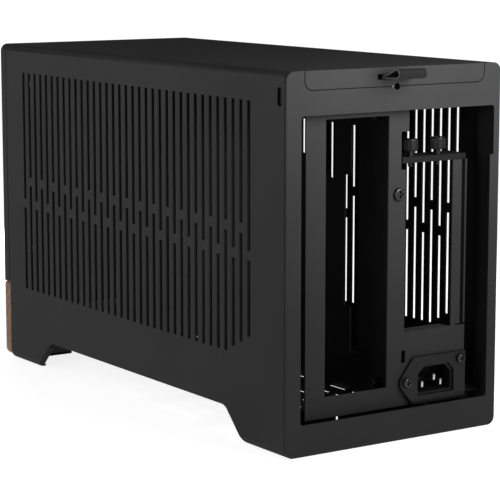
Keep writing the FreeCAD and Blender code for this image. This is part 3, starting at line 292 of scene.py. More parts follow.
def make_walnut():
    material, tree, shader, place = start_finish("oiled_walnut", (0.4, 0.25, 0.17), 0.45, specular=0.22)
    drift = noise(tree, stretched(tree, place, (5, 26, 26)), 1.0, detail=3)
    heart = stretched(tree, place, (0, 1, 1), shift=(0, 0.11, 0.075))
    reach = add_node(tree, "VectorMath", {0: heart}, operation="LENGTH").outputs["Value"]
    bend = add_node(tree, "Math", {0: drift, 2: reach}, operation="MULTIPLY_ADD")
    bend.inputs[1].default_value = RING_DRIFT
    rings = add_node(tree, "Math", {0: bend.outputs["Value"]}, operation="MULTIPLY")
    rings.inputs[1].default_value = RINGS_PER_METRE
    ring_line = add_node(tree, "CombineXYZ", {"X": rings.outputs["Value"]}).outputs["Vector"]
    ring_noise = noise(tree, ring_line, 1.0, detail=4, roughness=0.65)
    streaks = colours(tree, ring_noise, [
        (0.28, (0.22, 0.124, 0.078)), (0.45, (0.38, 0.23, 0.152)),
        (0.6, (0.47, 0.298, 0.205)), (0.78, (0.56, 0.37, 0.26))])
    pores = noise(tree, stretched(tree, place, (45, 1700, 1700)), 1.0, detail=3, roughness=0.6)
    pore_tone = colours(tree, pores, [(0.36, (0.55, 0.5, 0.46)), (0.5, (1, 1, 1))])
    blend = add_node(tree, "Mix", data_type="RGBA", blend_type="MULTIPLY")
    blend.inputs["Factor"].default_value = 0.6
    tree.links.new(streaks, blend.inputs["A"])
    tree.links.new(pore_tone, blend.inputs["B"])
    tree.links.new(blend.outputs["Result"], shader.inputs["Base Color"])
    tree.links.new(between(tree, pores, 0.58, 0.4), shader.inputs["Roughness"])
    raise_bump(tree, shader, pores, 0.25, 0.08 * MM)
    return material


walnut = make_walnut()
print("walnut with its grain along X")

# %% [markdown]
# ### Metals, plastics and the rest
#
# Inner screws are zinc plated, with a faint cloudiness; those at the rear are blackened. The port shells
# and the inlet's blades are bright nickel. Mouldings have a fine spark texture, and rubber a dull one. A
# plain metal takes one function with a colour and a roughness, because only those two differ.

# %% Bare and plated metals


def plain_metal(name, colour, rough, scratch=900):
    """Metal with its roughness broken up by faint, drawn-out scratches."""
    material, tree, shader, place = start_finish(name, colour, rough, metallic=1.0)
    marks = noise(tree, stretched(tree, place, (scratch, scratch, scratch * 0.15)), 1.0, detail=3)
    tree.links.new(between(tree, marks, rough - 0.07, rough + 0.09), shader.inputs["Roughness"])
    shade_low = tuple(0.86 * part for part in colour)
    tree.links.new(colours(tree, marks, [(0.3, shade_low), (0.6, colour)]), shader.inputs["Base Color"])
    raise_bump(tree, shader, marks, 0.03, 0.01 * MM)
    return material


zinc = plain_metal("zinc_plate", (0.50, 0.50, 0.515), 0.32)
nickel = plain_metal("nickel_plate", (0.48, 0.475, 0.46), 0.27)
gold = plain_metal("contact_gold", (0.85, 0.60, 0.25), 0.25)
black_oxide = plain_metal("black_oxide", (0.05, 0.05, 0.052), 0.34, scratch=350)
thumb_black = plain_metal("thumb_black", (0.026, 0.026, 0.027), 0.42, scratch=350)
button_black = plain_metal("button_anodised", (0.055, 0.055, 0.058), 0.36, scratch=2200)
print("six metals")

# %% Plastics, rubber and the circuit board


def moulded(name, colour, rough, texture, depth, gloss=0.12):
    """A moulding: even colour, with a texture that breaks up its gloss."""
    material, tree, shader, place = start_finish(name, colour, rough, specular=gloss)
    skin = noise(tree, place, texture, detail=2)
    tree.links.new(between(tree, skin, rough - 0.06, rough + 0.08), shader.inputs["Roughness"])
    lighter = tuple(1.25 * part for part in colour)
    tone = colours(tree, noise(tree, place, 60), [(0.35, colour), (0.7, lighter)])
    tree.links.new(tone, shader.inputs["Base Color"])
    raise_bump(tree, shader, skin, 0.3, depth)
    return material


def make_board_green():
    """Solder mask over copper: a grid of faint traces under a smooth coat."""
    material, tree, shader, place = start_finish("solder_mask", (0.008, 0.03, 0.018), 0.3)
    grid = stretched(tree, place, (420, 190, 420))
    traces = add_node(tree, "TexVoronoi", {"Vector": grid}, distance="MANHATTAN").outputs["Distance"]
    tone = colours(tree, traces, [(0.42, (0.007, 0.026, 0.016)), (0.5, (0.014, 0.055, 0.032))])
    tree.links.new(tone, shader.inputs["Base Color"])
    raise_bump(tree, shader, traces, 0.15, 0.05 * MM)
    return material


black_plastic = moulded("black_moulding", (0.005, 0.005, 0.0052), 0.38, 1900, 0.02 * MM, gloss=0.2)
foot_rubber = moulded("foot_rubber", (0.016, 0.016, 0.016), 0.8, 1100, 0.08 * MM)
board_green = make_board_green()
print("mouldings, rubber and a circuit board")

# %% Woven ribbon


def make_ribbon_weave():
    """Black webbing: ribs across the ribbon, crossed by finer threads along it."""
    material, tree, shader, place = start_finish("woven_ribbon", (0.008, 0.008, 0.0083), 0.8, specular=0.15)
    shader.inputs["Sheen Weight"].default_value = 0.04
    shader.inputs["Sheen Roughness"].default_value = 0.5
    threads = add_node(tree, "TexWave", {"Vector": place}, bands_direction="X", scale=340.0, distortion=1.2)
    ribs = add_node(tree, "TexWave", {"Vector": place}, bands_direction="Y", scale=260.0, distortion=0.8)
    both = {0: threads.outputs["Fac"], 1: ribs.outputs["Fac"]}
    weave = add_node(tree, "Math", both, operation="MULTIPLY").outputs["Value"]
    tone = colours(tree, weave, [(0.0, (0.003, 0.003, 0.0032)), (0.8, (0.009, 0.009, 0.0094))])
    tree.links.new(tone, shader.inputs["Base Color"])
    raise_bump(tree, shader, weave, 0.6, 0.15 * MM)
    return material


ribbon_weave = make_ribbon_weave()
# A lighter grey for the ribbon's side edges: a painted highlight, as if light from the side caught them.
ribbon_edge_highlight = moulded("ribbon_edge_highlight", (0.11, 0.11, 0.112), 0.7, 2400, 0.1 * MM)
print("a woven ribbon and its sealed edge")

# %% [markdown]
# ## Sheet edges and solid edges
#
# No punched sheet has knife edges: deburring and paint leave a round of a few tenths of a millimetre, and
# that round catches the light as a thin line. The solids come with sharp edges, so each is copied, its
# loose triangles are merged, flat areas are dissolved into single faces, and every sharp edge gets a small
# bevel. Wide faces with openings are cut into triangles first, so that the bevel can't leave them badly
# filled. The copy then stands for the solid and rides on the same body.

# %% Finishes by the record's material slots
finish_for = {
    "panel_aluminium": satin_black,
    "frame_steel": powder_black,
    "walnut": walnut,
    "rubber": foot_rubber,
    "black_plastic": black_plastic,
    "circuit_board": board_green,
    "black_screw": black_oxide,
    "bright_steel": zinc,
    "plated_shell": nickel,
    "button_metal": button_black,
    "ribbon": ribbon_weave,
}
# Sheets deep inside take the painted shade black instead of their slot's finish.
inner_sheets = [
    "base_pan", "slot_shelf", "front_bulkhead", "right_top_rail", "left_top_rail", "spine_wall",
    "psu_bracket", "right_front_hinge_bracket", "left_front_hinge_bracket", "right_rear_hinge_bracket",
    "left_rear_hinge_bracket",
]


def finish_of(node):
    return painted_shade_black if node in inner_sheets else finish_for[slot_of[node]]


def paint(piece, material):
    piece.data.materials.clear()
    piece.data.materials.append(material)


def join_case(piece, node, material=None):
    """The piece stands for a solid: it rides on the solid's body and takes its slot's finish; an inner sheet
    takes painted shade instead.
    """
    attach(piece, body_of[node])
    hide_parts(node)
    paint(piece, material or finish_of(node))


for name, solid in nodes.items():
    paint(solid, finish_of(name))
print(f"{len(nodes)} solids painted in {len(finish_for)} finishes")

# %% Round the edges of the sheet metal and the mouldings
MERGE = 0.001 * MM
FLAT = math.radians(0.5)
SHARP = math.radians(35)
WIDE = 150 * MM * MM


def rounded(node, width):
    """A copy of a solid with its sharp edges rounded, which stands for the solid."""
    only(nodes[node])
    bpy.ops.object.duplicate()
    piece = bpy.context.active_object
    piece.name = f"{node}_rounded"
    del piece["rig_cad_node"]
    open_up(piece)
    bpy.ops.mesh.customdata_custom_splitnormals_clear()
    bpy.ops.mesh.remove_doubles(threshold=MERGE)
    bpy.ops.mesh.dissolve_limited(angle_limit=FLAT)
    close_up()
    pick_faces(piece, lambda face: face.area > WIDE)
    bpy.ops.mesh.quads_convert_to_tris(ngon_method="BEAUTY")
    close_up()
    apply_modifier(piece, "BEVEL", width=width, segments=2, limit_method="ANGLE", angle_limit=SHARP,
                   use_clamp_overlap=False, loop_slide=False)
    shade(piece)
    join_case(piece, node)
    return piece


edge_rounds = {
    0.30 * MM: ["right_side_panel", "left_side_panel", "front_panel", "wood_trim", "inlet_housing",
                "front_right_foot", "front_left_foot", "rear_right_foot", "rear_left_foot",
                "front_right_foot_pad", "front_left_foot_pad", "rear_right_foot_pad", "rear_left_foot_pad"],
    0.20 * MM: ["top_cover", "rear_frame", "base_pan", "front_bulkhead", "right_top_rail", "left_top_rail",
                "spine_wall", "rear_plate", "psu_bracket", "slot_shelf", "right_front_hinge_bracket",
                "left_front_hinge_bracket", "right_rear_hinge_bracket", "left_rear_hinge_bracket",
                "panel_hinge_pins", "cover_hinge_pins", "cover_bumpers", "power_switch", "standoffs",
                "right_panel_studs", "left_panel_studs"],
    0.08 * MM: ["right_stud_grommets", "left_stud_grommets", "usb_a_port_inner", "usb_a_port_outer",
                "usb_c_port", "port_tongues", "usb_c_spacer", "io_board_posts"],
}
round_count = 0
for width, names in edge_rounds.items():
    for name in names:
        rounded(name, width)
        round_count += 1
print(f"{round_count} solids have rounded edges")

# %% [markdown]
# ## Painted shade inside the sheets
#
# In the photograph each slot and seam reads as a black line, also where one looks along its wall. Under the
# studio's lamps the walls would turn grey, so the walls of slots and seams, the lower edges and the inner
# faces get the deeper black as painted shade. That is a choice for the picture, not a known coat. The faces
# are found by place: whatever lies deeper than the rounded rim of the outer face is inside.

# %% Paint shade on the slots, the seams, the lower edges and the inner faces


def paint_shade_inside(node, inside):
    """Give the painted shade black to the faces of a rounded solid whose centre passes the test."""
    piece = bpy.data.objects[f"{node}_rounded"]
    piece.data.materials.append(painted_shade_black)
    pick_faces(piece, lambda face: inside(face.center))
    piece.active_material_index = 1
    bpy.ops.object.material_slot_assign()
    close_up()
    return sum(face.material_index for face in piece.data.polygons)


RIM = 0.32 * MM
EDGE = 3 * MM
LOWER_EDGE = 0.9 * MM
rear_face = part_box("rear_frame")[1].y


# These tests pick the faces for painted shade: inner faces, walls of slots and seams, and lower edges.
def behind_side(spot):
    return spot.z < LOWER_EDGE or abs(spot.x) < case_high.x - RIM and spot.z < case_high.z - EDGE


def behind_rear(spot):
    return spot.z < LOWER_EDGE or spot.y < rear_face - RIM and abs(spot.x) < case_high.x - EDGE


def under_cover(spot):
    return spot.z < case_high.z - EDGE and spot.y < rear_face - RIM


# Painted shade on both side panels, the rear frame and the cover's lip.
painted_shade_faces = paint_shade_inside("right_side_panel", behind_side) + paint_shade_inside("left_side_panel", behind_side)
painted_shade_faces += paint_shade_inside("rear_frame", behind_rear) + paint_shade_inside("top_cover", under_cover)
print(f"{painted_shade_faces} faces inside the sheets are dipped only")

# %% [markdown]
# ## The inlet's blades
#
# The three blades of the mains inlet end in a rounded nose so that a plug finds its way. Their solid is a
# plain bar. A wider bevel than elsewhere makes the nose.

# %% Blades with rounded noses
NOSE = 0.7 * MM
blades = rounded("inlet_pins", NOSE)
print(f"inlet blades with rounded noses, {len(blades.data.polygons)} faces")

# %% [markdown]
# ## Screws
#
# A pan-head screw is a low dome over a shank, with a cross-shaped recess for the driver. It starts as a
# cylinder: the upper rim is bevelled far enough to make the dome, the lower face is inset and pushed down
# for the shank, and a cross made of two bars is cut out of the top. Each size is made once, upright at the
# origin. Its copies are then turned to their own axis.

# %% Pan-head screws


def cross_cutter(radius, depth, top):
    """Two crossed bars that leave a driver's recess."""
    bars = []
    for turn in (0, math.pi / 2):
        bpy.ops.mesh.primitive_cube_add(size=1, location=(0, 0, top), rotation=(0, 0, turn))
        bar = bpy.context.active_object
        bar.scale = (1.25 * radius, 0.34 * radius, 2 * depth)
        settle(bar)
        bars.append(bar)
    only(bars[0])
    bars[1].select_set(True)
    bpy.ops.object.join()
    return bars[0]


def pan_screw(name, head_radius, head_height, shank_radius, shank_length):
    """A screw that points down from its head, with the head's seat at the origin."""
    bpy.ops.object.select_all(action="DESELECT")
    bpy.ops.mesh.primitive_cylinder_add(vertices=40, radius=head_radius, depth=head_height,
                                        location=(0, 0, head_height / 2))
    screw = bpy.context.active_object
    screw.name = name
    settle(screw)
    pick_edges(screw, lambda a, b: min(a.z, b.z) > 0.9 * head_height)
    bpy.ops.mesh.bevel(offset=0.55 * head_height, segments=5, profile=0.5)
    close_up()
    pick_faces(screw, lambda face: face.normal.z < -0.9)
    bpy.ops.mesh.inset(thickness=head_radius - shank_radius)
    bpy.ops.mesh.extrude_region_move(TRANSFORM_OT_translate={"value": (0, 0, -shank_length)})
    bpy.ops.transform.resize(value=(0.6, 0.6, 1), center_override=(0, 0, -shank_length))
    close_up()
    cutter = cross_cutter(head_radius, 0.6 * head_height, head_height)
    apply_modifier(screw, "BOOLEAN", operation="DIFFERENCE", object=cutter, solver="EXACT", use_self=True)
    bpy.data.objects.remove(cutter)
    shade(screw, 35)
    return screw


def place_screw(screw, seat, turn):
    """Turn a screw from the upright to its own axis and set its head on its seat."""
    screw.rotation_euler = turn
    screw.location = seat
    settle(screw)


HEAD_TO_REAR = (-math.pi / 2, 0, 0)
UPRIGHT = (0, 0, 0)
SHANK = 1.2 * MM


def copy_of(pattern, name):
    """A copy with a mesh of its own."""
    only(pattern)
    bpy.ops.object.duplicate()
    piece = bpy.context.active_object
    piece.name = name
    return piece


def set_out(pattern, node, name, seats, turn, material=None):
    """Copies of one screw, each on its own seat and standing for its solid; the pattern goes."""
    for number, seat in enumerate(seats, start=1):
        screw = copy_of(pattern, f"{name}_{number}")
        place_screw(screw, seat, turn)
        join_case(screw, node, material)
    bpy.data.objects.remove(pattern)


def screw_row(node, centres, seat_y, head_radius, head_height, length):
    """Pan-head screws with their heads towards the rear."""
    pattern = pan_screw("screw_pattern", head_radius, head_height, SHANK, length)
    set_out(pattern, node, node, [(x, seat_y, z) for x, z in centres], HEAD_TO_REAR)


print("a pan-head screw to copy")

# %% Screws of the rear plate and the inlet
plate_low, plate_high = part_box("plate_screw")
plate_head = (plate_high.x - plate_low.x) / 2
plate_spot = ((plate_low.x + plate_high.x) / 2, (plate_low.z + plate_high.z) / 2)
HEAD_HEIGHT = 2.0 * MM
screw_row("plate_screw", [plate_spot], plate_high.y - HEAD_HEIGHT, plate_head, HEAD_HEIGHT, 3.5 * MM)

inlet_low, inlet_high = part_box("inlet_screws")
inlet_head = 2.9 * MM
inlet_spots = [(inlet_high.x - inlet_head, inlet_low.z + inlet_head),
               (inlet_low.x + inlet_head, inlet_high.z - inlet_head)]
screw_row("inlet_screws", inlet_spots, inlet_high.y - HEAD_HEIGHT, inlet_head, HEAD_HEIGHT, 5 * MM)
print("three screws at the rear")

# %% Screws of the front panel and the trim
panel_low, panel_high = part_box("front_panel_screws")
front_head = 2.8 * MM
columns = (panel_low.x + front_head, panel_high.x - front_head)
rows = (panel_low.z + front_head, panel_high.z - front_head)
screw_row("front_panel_screws", [(x, z) for x in columns for z in rows], panel_high.y - HEAD_HEIGHT,
          front_head, HEAD_HEIGHT, panel_high.y - panel_low.y - HEAD_HEIGHT)
trim_low, trim_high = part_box("trim_screws")
trim_level = (trim_low.z + trim_high.z) / 2
screw_row("trim_screws", [(x, trim_level) for x in (trim_low.x + front_head, trim_high.x - front_head)],
          trim_high.y - HEAD_HEIGHT, front_head, HEAD_HEIGHT, trim_high.y - trim_low.y - HEAD_HEIGHT)
print("six screws inside the front")

# %% [markdown]
# ## Thumbscrews
#
# Two thumbscrews hold the card brackets, and two more clamp the spine to the pan. Fingers need grip, so the
# rim of the head is knurled. Each side face of a many-sided cylinder is inset and pushed in a little, which
# leaves the ridges. The top has a shallow dish, and the lower end steps in to a collar and a shank.

# %% A knurled thumbscrew


def thumbscrew(name, head_radius, head_height, collar_radius, collar_height, shank_radius, shank_length):
    """A thumbscrew that points down, with the under side of its head at the origin."""
    bpy.ops.object.select_all(action="DESELECT")
    bpy.ops.mesh.primitive_cylinder_add(vertices=44, radius=head_radius, depth=head_height,
                                        location=(0, 0, head_height / 2))
    screw = bpy.context.active_object
    screw.name = name
    settle(screw)
    pick_edges(screw, lambda a, b: abs(a.z - b.z) < MERGE)
    bpy.ops.mesh.bevel(offset=0.1 * head_height, segments=2)
    close_up()
    tall = 0.6 * head_height
    pick_faces(screw, lambda face: abs(face.normal.z) < 0.1 and face.area > tall * MM * 0.1)
    bpy.ops.mesh.inset(thickness=0.11 * MM, depth=-0.16 * MM, use_individual=True)
    close_up()
    pick_faces(screw, lambda face: face.normal.z > 0.95)
    bpy.ops.mesh.inset(thickness=0.25 * head_radius, depth=0)
    bpy.ops.mesh.inset(thickness=0.08 * head_radius, depth=-0.08 * head_height)
    close_up()
    pick_faces(screw, lambda face: face.normal.z < -0.95)
    bpy.ops.mesh.inset(thickness=0.9 * head_radius - collar_radius)
    bpy.ops.mesh.extrude_region_move(TRANSFORM_OT_translate={"value": (0, 0, -collar_height)})
    bpy.ops.mesh.inset(thickness=collar_radius - shank_radius)
    bpy.ops.mesh.extrude_region_move(TRANSFORM_OT_translate={"value": (0, 0, -shank_length)})
    close_up()
    shade(screw, 30)
    return screw


thumb_low, thumb_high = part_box("slot_thumbscrews")
thumb_radius = (thumb_high.y - thumb_low.y) / 2
thumb_y = (thumb_low.y + thumb_high.y) / 2
THUMB_HEAD = 7.2 * MM
COLLAR = 3 * MM
thumb_seats = [(x, thumb_y, thumb_high.z - THUMB_HEAD)
               for x in (thumb_high.x - thumb_radius, thumb_low.x + thumb_radius)]
pattern = thumbscrew("thumbscrew_pattern", thumb_radius, THUMB_HEAD, 2.1 * MM, COLLAR, 1.6 * MM, 6 * MM)
set_out(pattern, "slot_thumbscrews", "slot_thumbscrew", thumb_seats, UPRIGHT, thumb_black)
print("two thumbscrews on the slot shelf")

# %% Clamp screws of the spine
clamp_low, clamp_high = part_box("spine_clamp_screws")
clamp_radius = (clamp_high.x - clamp_low.x) / 2
clamp_x = (clamp_low.x + clamp_high.x) / 2
CLAMP_HEAD = 5 * MM
clamp_length = clamp_high.z - clamp_low.z - CLAMP_HEAD
clamp_seats = [(clamp_x, y, clamp_high.z - CLAMP_HEAD)
               for y in (clamp_low.y + clamp_radius, clamp_high.y - clamp_radius)]
pattern = thumbscrew("clamp_pattern", clamp_radius, CLAMP_HEAD, 2 * MM, 0.5 * clamp_length, 1.9 * MM,
                     0.5 * clamp_length)
set_out(pattern, "spine_clamp_screws", "spine_clamp_screw", clamp_seats, UPRIGHT)
print("two clamp screws on the spine's foot")

# %% [markdown]
# ## The pull tab
#
# A short ribbon, doubled into a loop, hangs out of a slot in the rear lip of the cover. Its two ends leave
# the slot together and open into a round eye, so from the side it looks like a drop. The ribbon is drawn
# the way it is sewn: one edge, as long as the ribbon is wide, is extruded along the line of the loop, and
# the strip is then given its thickness.

# %% Ribbon loop
tab_low, tab_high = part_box("pull_tab")
RIBBON = 1.1 * MM
lip_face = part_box("top_cover")[1].y
tab_width = tab_high.x - tab_low.x
eye_radius = 2.55 * MM
eye_y = tab_high.y - RIBBON / 2 - eye_radius
eye_z = case_high.z - 0.15 * MM - RIBBON / 2 - eye_radius
leg_low = tab_low.z + 1.5 * MM + RIBBON / 2
leg_high = leg_low + RIBBON + 0.1 * MM
EYE_TURN = 220
EYE_STEPS = 12


def loop_line():
    """The middle line of the ribbon, from one end inside the slot, round the eye, and back to the other."""
    inside = lip_face - 4.2 * MM
    line = [(inside, leg_low)]
    line += [(lip_face + past * MM, leg_low) for past in (-1, 1.5, 4)]
    for step in range(EYE_STEPS + 1):
        angle = math.radians(EYE_TURN * (step / EYE_STEPS - 0.5))
        line.append((eye_y + eye_radius * math.cos(angle), eye_z + eye_radius * math.sin(angle)))
    line += [(lip_face + 5 * MM, leg_high + 1.3 * MM), (lip_face + 2 * MM, leg_high + 0.2 * MM)]
    line += [(lip_face - 1 * MM, leg_high), (inside, leg_high)]
    return line


def make_ribbon():
    bpy.ops.object.select_all(action="DESELECT")
    bpy.ops.mesh.primitive_plane_add(size=1, location=(0, 0, 0))
    ribbon = bpy.context.active_object
    ribbon.name = "pull_tab_ribbon"
    ribbon.scale = (tab_width - 0.4 * MM, 1 * MM, 1)
    settle(ribbon)
    pick_edges(ribbon, lambda a, b: max(a.y, b.y) > 0 and abs(a.y - b.y) < MERGE)
    bpy.ops.mesh.select_mode(type="VERT")
    bpy.ops.mesh.delete(type="VERT")
    close_up()
    line = loop_line()
    start = Vector((0, *line[0]))
    ribbon.location = start - Vector((0, -0.5 * MM, 0))
    settle(ribbon)
    open_up(ribbon, "EDGE")
    for before, after in zip(line, line[1:]):
        step = (0, after[0] - before[0], after[1] - before[1])
        bpy.ops.mesh.extrude_region_move(TRANSFORM_OT_translate={"value": step})
    close_up()
    apply_modifier(ribbon, "SUBSURF", levels=2, render_levels=2)
    apply_modifier(ribbon, "SOLIDIFY", thickness=RIBBON, offset=0.0)
    apply_modifier(ribbon, "BEVEL", width=0.25 * MM, segments=2, limit_method="ANGLE", angle_limit=SHARP)
    open_up(ribbon)
    bpy.ops.mesh.normals_make_consistent(inside=False)
    close_up()
    shade(ribbon, 50)
    join_case(ribbon, "pull_tab")
    # The ribbon's side edges take the lighter grey of the painted highlight.
    ribbon.data.materials.append(ribbon_edge_highlight)
    pick_faces(ribbon, lambda face: abs(face.normal.x) > 0.6)
    ribbon.active_material_index = 1
    bpy.ops.object.material_slot_assign()
    close_up()
    return ribbon


ribbon = make_ribbon()
print(f"a ribbon of {len(ribbon.data.polygons)} faces")

# %% [markdown]
# ## The curtain of the cable window
#
# The spine has a tall window for the card's cable. The photograph shows no light through it, so something
# dark stands behind the slots there. A slit rubber curtain is a guess at what that is: a rim that holds on
# to the sheet, and a thin web with a comb of slits. The rim comes from a rounded block, the web from an
# inset pushed in on both faces, and the slits are cut as shallow grooves, since closed rubber lets no light
# by.

# %% Slit rubber curtain
CURTAIN_MIDDLE = Vector((-5.6, -20.7, 105)) * MM
CURTAIN_SIZE = Vector((3.2, 21, 93)) * MM
WEB = 1.2 * MM


def slit_cutter():
    """One tall bar and a ladder of short ones across it, as thick as a blade."""
    height = 0.8 * CURTAIN_SIZE.z
    bars = [((0, 0), (0.3 * MM, height))]
    bars += [((0, (step - 3.5) * height / 8), (11 * MM, 0.3 * MM)) for step in range(8)]
    cutters = []
    for side in (-1, 1):
        for (y, z), (wide, tall) in bars:
            bpy.ops.mesh.primitive_cube_add(size=1, location=(side * WEB / 2, y, z))
            bar = bpy.context.active_object
            bar.scale = (0.6 * MM, wide, tall)
            settle(bar)
            cutters.append(bar)
    only(cutters[0])
    for bar in cutters[1:]:
        bar.select_set(True)
    bpy.ops.object.join()
    return cutters[0]


def make_curtain():
    bpy.ops.object.select_all(action="DESELECT")
    bpy.ops.mesh.primitive_cube_add(size=1, location=(0, 0, 0))
    curtain = bpy.context.active_object
    curtain.name = "cable_window_curtain"
    curtain.scale = CURTAIN_SIZE
    settle(curtain)
    pick_edges(curtain, lambda a, b: abs(a.x - b.x) > MM)
    bpy.ops.mesh.bevel(offset=5.5 * MM, segments=6)
    close_up()
    pick_edges(curtain, lambda a, b: abs(a.x - b.x) < MERGE)
    bpy.ops.mesh.bevel(offset=0.4 * MM, segments=2)
    close_up()
    for side in (-1, 1):
        pick_faces(curtain, lambda face: face.normal.x * side > 0.99)
        bpy.ops.mesh.inset(thickness=2.4 * MM)
        bpy.ops.mesh.inset(thickness=0.3 * MM, depth=(WEB - CURTAIN_SIZE.x) / 2)
        close_up()
    cutter = slit_cutter()
    apply_modifier(curtain, "BOOLEAN", operation="DIFFERENCE", object=cutter, solver="EXACT", use_self=True)
    bpy.data.objects.remove(cutter)
    curtain.location = CURTAIN_MIDDLE
    settle(curtain)
    shade(curtain, 35)
    paint(curtain, foot_rubber)
    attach(curtain, "spine")
    return curtain


curtain = make_curtain()
print(f"a curtain of {len(curtain.data.polygons)} faces")

# %% [markdown]
# ## The power button
#
# The button is a turned disc in the wooden strip, with a shallow dish for the finger and a fine rim round
# it. A cylinder with two insets gives the rim and the dish; the stem behind it is the inset rear face
# pushed back.

# %% Dished power button
button_low, button_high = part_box("power_button")
button_x = (button_low.x + button_high.x) / 2
button_z = (button_low.z + button_high.z) / 2
button_radius = (button_high.x - button_low.x) / 2
BUTTON_DEPTH = 8 * MM


def make_button():
    bpy.ops.object.select_all(action="DESELECT")
    bpy.ops.mesh.primitive_cylinder_add(vertices=64, radius=button_radius, depth=BUTTON_DEPTH,
                                        location=(0, 0, -BUTTON_DEPTH / 2))
    button = bpy.context.active_object
    button.name = "power_button_disc"
    settle(button)
    pick_edges(button, lambda a, b: min(a.z, b.z) > -MERGE)
    bpy.ops.mesh.bevel(offset=0.45 * MM, segments=3)
    close_up()
    pick_faces(button, lambda face: face.normal.z > 0.99)
    bpy.ops.mesh.inset(thickness=0.5 * MM)
    for share, depth in ((0.1, 0.12), (0.25, 0.14), (0.3, 0.08), (0.3, 0.03)):
        bpy.ops.mesh.inset(thickness=share * 0.8 * button_radius, depth=-depth * MM)
    close_up()
    pick_faces(button, lambda face: face.normal.z < -0.99)
    bpy.ops.mesh.inset(thickness=button_radius - 2 * MM)
    stem = button_high.y - button_low.y - BUTTON_DEPTH
    bpy.ops.mesh.extrude_region_move(TRANSFORM_OT_translate={"value": (0, 0, -stem)})
    close_up()
    shade(button, 35)
    place_screw(button, (button_x, button_low.y, button_z), (math.pi / 2, 0, 0))
    join_case(button, "power_button")


make_button()
print("a dished power button")

# %% [markdown]
# ## Contacts in the ports
#
# Behind the mouth of each USB port lies a plastic tongue with gold contacts. Each contact is a thin strip
# with a rounded front end, modelled once for each port and repeated across the tongue.

# %% Contacts on the tongues
tongue_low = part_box("port_tongues")[0]
TONGUE_RISE = 0.95 * MM
HALF_TONGUE = 0.7 * MM


def contact_row(name, middle, level, count, pitch, width, length, facing):
    """Gold strips on one face of a tongue; facing is 1 for its upper face and -1 for its lower one."""
    bpy.ops.object.select_all(action="DESELECT")
    bpy.ops.mesh.primitive_cube_add(size=1, location=(0, 0, 0))
    strip = bpy.context.active_object
    strip.name = name
    strip.scale = (width, length, 0.16 * MM)
    settle(strip)
    pick_edges(strip, lambda a, b: max(a.y, b.y) < 0 and abs(a.z - b.z) < MERGE)
    bpy.ops.mesh.bevel(offset=0.07 * MM, segments=2)
    close_up()
    strip.location = (middle - pitch * (count - 1) / 2, tongue_low.y + 0.4 * MM + length / 2,
                      level + facing * 0.04 * MM)
    settle(strip)
    apply_modifier(strip, "ARRAY", count=count, use_relative_offset=False, use_constant_offset=True,
                   constant_offset_displace=(pitch, 0, 0))
    shade(strip, 30)
    paint(strip, gold)
    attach(strip, "chassis")


port_rows = 0
for port in ("usb_a_port_inner", "usb_a_port_outer"):
    low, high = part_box(port)
    level = (low.z + high.z) / 2 + TONGUE_RISE - HALF_TONGUE
    contact_row(f"{port}_contacts", (low.x + high.x) / 2, level, 4, 2.2 * MM, 1.1 * MM, 7 * MM, -1)
    port_rows += 1
low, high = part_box("usb_c_port")
for side, facing in (("upper", 1), ("lower", -1)):
    level = (low.z + high.z) / 2 + facing * HALF_TONGUE
    contact_row(f"usb_c_port_contacts_{side}", (low.x + high.x) / 2, level, 9, 0.5 * MM, 0.26 * MM, 4 * MM,
                facing)
    port_rows += 1
print(f"{port_rows} rows of contacts")

# %% [markdown]
# ## Parts on the front board
#
# The small board behind the ports carries a plug header for the front lead, a controller chip and a few
# capacitors. They are seen only when a side panel is down, yet a bare board would look unfinished then.
# Each starts as a box whose upper edges are rounded. The header gets its well by an inset pushed down, and
# the capacitors are one part and two copies.

# %% Header, chip and capacitors
board_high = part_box("front_io_board")[1]


def board_part(name, size, place, material, edge):
    """A block on the board with rounded upper edges."""
    bpy.ops.object.select_all(action="DESELECT")
    bpy.ops.mesh.primitive_cube_add(size=1, location=(0, 0, 0.5))
    part = bpy.context.active_object
    part.name = name
    settle(part)
    part.scale = size
    settle(part)
    pick_edges(part, lambda a, b: max(a.z, b.z) > 0.5 * size[2])
    bpy.ops.mesh.bevel(offset=edge, segments=2)
    close_up()
    part.location = (*place, board_high.z)
    settle(part)
    shade(part, 40)
    paint(part, material)
    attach(part, "chassis")
    return part


chip_y = board_high.y - 5 * MM
capacitor_y = board_high.y - 3 * MM
capacitor_x = (12 * MM, 16 * MM, 47 * MM)
header = board_part("front_lead_header", (10 * MM, 6 * MM, 7 * MM), (-4 * MM, chip_y), black_plastic,
                    0.3 * MM)
pick_faces(header, lambda face: face.normal.z > 0.95)
bpy.ops.mesh.inset(thickness=0.8 * MM)
bpy.ops.mesh.extrude_region_move(TRANSFORM_OT_translate={"value": (0, 0, -5.5 * MM)})
close_up()
board_part("port_controller", (5 * MM, 5 * MM, 1 * MM), (29.5 * MM, chip_y), black_plastic,
           0.15 * MM)
first = board_part("board_capacitor_1", (1.6 * MM, 0.9 * MM, 0.8 * MM), (capacitor_x[0], capacitor_y), zinc,
                   0.12 * MM)
for number, x in enumerate(capacitor_x[1:], start=2):
    part = copy_of(first, f"board_capacitor_{number}")
    part.location.x = x - capacitor_x[0]
    settle(part)
    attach(part, "chassis")
print("five parts on the front board")

# %% [markdown]
# ## Studio
#
# The floor is a wide pale sheet that runs to the horizon, so the case stands on white. Camera and gloss
# rays see it brighter than the lamps alone would make it, which keeps the page white without more light on
# the case. Near the case it glows a little less, so the soft shadow stays. The sky is dim, because the top
# mirrors it. A panel close behind the rear face, just above it, makes the rear fade downwards as in the
# photograph. One with a grid lights the upper part of the slotted side, and a wider one fills that side.
# Two low panels light the front and the left side, which the photograph doesn't show.

# %% Floor and sky
NEAR_GLOW = 0.84
FAR_GLOW = 1.0
GLOW_START = 0.3
GLOW_END = 0.9
SKY = 0.1


